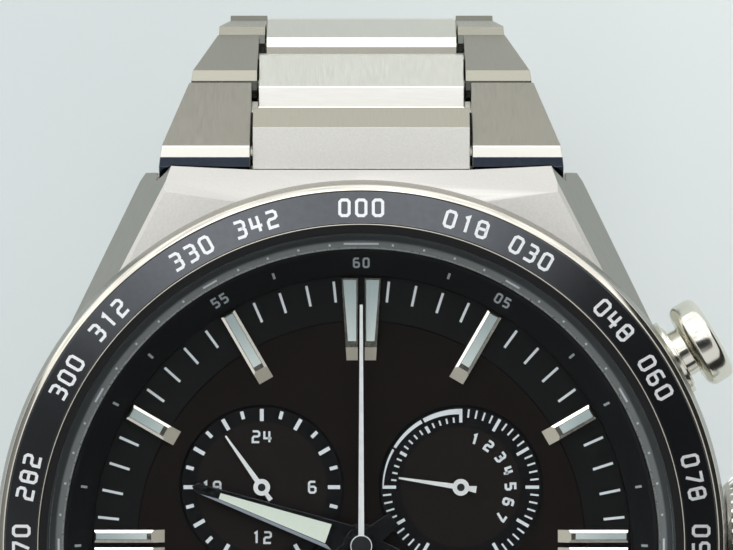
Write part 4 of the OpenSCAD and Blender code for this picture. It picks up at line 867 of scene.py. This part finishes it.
# Crown and pushers: turned steel, polished, the crown with pressed flutes. The pushers are mushrooms on thin
# stems with a clip at the inner end, and they run in stepped tubes pressed into the case.
PUSH_ANGLE = 30.5
PUSH_Z = (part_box("pusher_2")[0].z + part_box("pusher_2")[1].z) / 2 / MM
STEM_R, CLIP_R, NECK_R, CAP_R = 0.6, 1.2, 1.42, 2.57
TUBE_BORE_R, TUBE_MOUTH_R, TUBE_R, COLLAR_R = 0.66, 1.48, 1.9, 2.3
CAP_POLISH_R, TUBE_POLISH_R = 0.16, 0.05
ROUND_STEPS = 96
CROWN_EDGE = 0.03
pusher_profile = [(0, 15.4), (STEM_R, 15.4), (STEM_R, 16.95), (CLIP_R, 16.95), (CLIP_R, 17.2), (STEM_R, 17.2),
                  (STEM_R, 20.45), (NECK_R, 20.45), (NECK_R, 22.05), (2.22, 22.05), (CAP_R, 22.35),
                  (CAP_R, 23.3), (2.45, 23.6), (2.12, 23.75), (0, 23.75)]
tube_profile = [(TUBE_BORE_R, 17.6), (TUBE_R, 17.6), (TUBE_R, 20.95), (COLLAR_R, 20.95), (COLLAR_R, 21.23),
                (TUBE_R, 21.23), (TUBE_R, 21.35), (TUBE_MOUTH_R, 21.35), (TUBE_MOUTH_R, 17.95),
                (TUBE_BORE_R, 17.95)]
pusher_steel = finish("pusher_steel", "#DAD7CA", 0.1, 1.0, 0.4, bump=0.01, roughs=(0.1, 0.16))
knob = finish("crown_steel", "#D2D1CE", 0.2, 1.0, 0.3, bump=0.02, roughs=(0.17, 0.26))
pusher_outline = rounded(pusher_profile, CAP_POLISH_R, closed=False)
tube_outline = rounded(tube_profile, TUBE_POLISH_R)
for name, turn in (("pusher_2", PUSH_ANGLE), ("pusher_4", -PUSH_ANGLE)):
    cap = revolved(name + "_skin", pusher_outline, pusher_steel, ROUND_STEPS, False, [turn], PUSH_Z)
    fitted(cap, name, name)
tubes = revolved("tubes_skin", tube_outline, pusher_steel, ROUND_STEPS, True, [PUSH_ANGLE, -PUSH_ANGLE],
                 PUSH_Z)
fitted(tubes, "case", "pusher_tubes")
dressed("crown", "crown", [knob], edge=CROWN_EDGE)

# Return springs of the pushers: steel wire, wound between the floor of a tube and the thick part of a stem.
# Each is its half of the node pusher_springs.
for joint, hand in (("push_2", 1), ("push_4", -1)):
    form = bare_mesh("pusher_springs", False)
    bmesh.ops.delete(form, geom=[v for v in form.verts if v.co.y * hand < 0], context="VERTS")
    mesh = bpy.data.meshes.new(joint + "_spring")
    form.to_mesh(mesh)
    form.free()
    mesh.materials.append(nodes["pusher_springs"].data.materials[0])
    smooth_by_angle(mesh, WIRE_SHARP)
    spring = fitted(new_object(joint + "_spring", mesh), "case", "pusher_springs")
    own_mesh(spring)

# End pieces and links: each link is one block of brushed steel with two arms that straddle the tongue before
# it, and a pin through both. Its near end is cut to a bevel, lapped smooth, with a polished end below. The
# steels' colours are painted light and shade: the polished ends are painted dark as a reflection of the dark
# room, the outer pieces and the lower half of the further rows' centre bevels darker, the bevels of the first
# row lighter, and the steels of the further rows, which lean away, darker than those of the first.
LINK_COUNT = 7
FIRST_LEAN = 50
LINK_CURL = 17
TONGUES = (6.3, 6.0) + (5.65,) * (LINK_COUNT - 2)
CENTRE_HALF = 4
PIN_AREA = 3
# Least parts of a normal that tell an end piece's slope, and a link's bevel and end: back, out, and out
END_SLOPE = 0.12
BEVEL_BACK, BEVEL_UP, END_UP = 0.5, 0.57, -0.6
ALONG = {"spacing": 0.08, "stretch": (1, 14, 14)}
ACROSS = {"spacing": 0.1, "stretch": (14, 1, 1), "bump": 0.05}


def link_axes(lean, side):
    """Two directions of a link that leans down by lean degrees on one side of the case: along it, away from
    the case, and out of its outer face."""
    a = math.radians(lean)
    return np.array([0, side * math.cos(a), -math.sin(a)]), np.array([0, side * math.sin(a), math.cos(a)])


def bevel_middle(name, lean, side):
    """The height, along a link's outward direction, of the middle of the bevel at the near end of its centre.
    The small faces of the pin are passed over."""
    along, out = link_axes(lean, side)
    mesh = nodes[name].data
    levels = [np.dot(mesh.vertices[k].co, out) for face in mesh.polygons for k in face.vertices
              if -np.dot(face.normal, along) > BEVEL_BACK and np.dot(face.normal, out) > BEVEL_UP
              and abs(face.center.x) < CENTRE_HALF * MM and face.area > PIN_AREA * MM * MM]
    return (max(levels) + min(levels)) / 2 / MM


def link_faces(lean, side, tongue, half):
    """Picks the materials of a link that leans down by lean degrees on one side of the case: 0 brushed
    centre, 1 its lapped bevel, which looks up and back, 2 the ends below the bevels, painted dark as shade, 3
    brushed outer pieces, past the tongue, painted darker, 4 the bevels of these, and 5 the centre's bevel
    below the height half, painted darker as shade."""
    along, out = link_axes(lean, side)

    def choose(middles, normals):
        back = -normals @ along
        up = normals @ out
        outer = np.abs(middles[:, 0]) > tongue
        bevel = (back > BEVEL_BACK) & (up > BEVEL_UP)
        low = bevel & (middles @ out < half)
        end = (back > BEVEL_BACK) & (up > END_UP)
        return np.select([bevel & outer, low, bevel, end, outer], [4, 5, 1, 2, 3], 0)

    return choose


def end_faces(side):
    """Picks the materials of an end piece: 1 its slope away from the case, painted darker as shade, 0 the
    rest.
    """
    return lambda middles, normals: side * normals[:, 1] > END_SLOPE


# Lighter and darker copies of the brushed and lapped steels: painted light and shade by piece and row.
shaded_outer_brushed = finish("shaded_outer_brushed_steel", "#9D988D", 0.4, 1.0, **ALONG, bump=0.25, roughs=(0.32, 0.46),
                       tints=("#969186", "#A6A196"))
# A darker steel for the end piece's slope: painted shade.
painted_shade_slope = finish("painted_shade_slope", "#868478", 0.4, 1.0, **ALONG, bump=0.2, roughs=(0.34, 0.46),
                     tints=("#7E7C70", "#908E82"))
lower_bevel_shade = finish("lower_bevel_shade_steel", "#74726A", 0.4, 1.0, **ALONG, bump=0.2, roughs=(0.34, 0.46),
                   tints=("#6C6A62", "#7E7C74"))
lapped = finish("lapped_steel", "#F4F1E8", 0.44, 1.0, **ACROSS, roughs=(0.4, 0.48),
                tints=("#ECE9E0", "#F8F6F0"))
shaded_row_lapped = finish("shaded_row_lapped_steel", "#D0CEBC", 0.4, 1.0, **ACROSS, roughs=(0.36, 0.44),
                    tints=("#C8C6B4", "#D8D6C4"))
shaded_outer_lapped = finish("shaded_outer_lapped_steel", "#8A887C", 0.34, 1.0, **ACROSS, roughs=(0.3, 0.38),
                      tints=("#828074", "#929084"))
lit_arm_lapped = finish("lit_arm_lapped_steel", "#FAF8EE", 0.6, 1.0, **ACROSS, roughs=(0.56, 0.64))
# Dark steels for the polished ends: painted shade, for the dark room they mirror.
dark_end_shade = finish("dark_end_shade", "#4A525E", 0.2, 1.0, 0.3, bump=0.02, roughs=(0.16, 0.24),
                   tints=("#444C57", "#525A66"))
row_dark_end_shade = finish("row_dark_end_shade", "#464846", 0.25, 1.0, 0.3, bump=0.02, roughs=(0.2, 0.3),
                       tints=("#404240", "#50524E"))
first_row = [brushed, lapped, dark_end_shade, shaded_outer_brushed, lit_arm_lapped]
further_rows = [brushed, shaded_row_lapped, row_dark_end_shade, shaded_outer_brushed, shaded_outer_lapped, lower_bevel_shade]
for side, hour in ((1, "12"), (-1, "6")):
    dressed(f"end_link_{hour}", "case", [blasted, painted_shade_slope], end_faces(side))
    for index in range(LINK_COUNT):
        name = f"link_{hour}_{index + 1}"
        lean = FIRST_LEAN + LINK_CURL * index
        out = link_axes(lean, side)[1]
        half = bevel_middle(name, lean, side) if index else -math.inf
        dressed(name, name, further_rows if index else first_row,
                link_faces(lean, side, TONGUES[index], half), split=(out * half, out) if index else None)

# Clasp: a bent steel cover over two folding blades, brushed, with a polished push button in each wall. The
# middle blade is hinged to the cover at one end and to the inner blade at the other.
# Body, slot, rounding of the edges and its steps for each piece
CLASP = {
    "clasp_cover": ("cover", "clasp_steel", 0.12, 3),
    "clasp_middle_blade": ("middle_blade", "clasp_steel", 0.08, 2),
    "clasp_inner_blade": ("inner_blade", "clasp_steel", 0.08, 2),
    "clasp_button_left": ("button_left", "crown_steel", 0.12, 2),
    "clasp_button_right": ("button_right", "crown_steel", 0.12, 2),
}
polished = finish("polished_steel", "#DEDDDA", 0.07, 1.0, 0.5, bump=0.01, roughs=(0.05, 0.1))
for name, (body, slot_name, edge, segments) in CLASP.items():
    dressed(name, body, [polished if "button" in name else brushed], edge=edge, segments=segments)
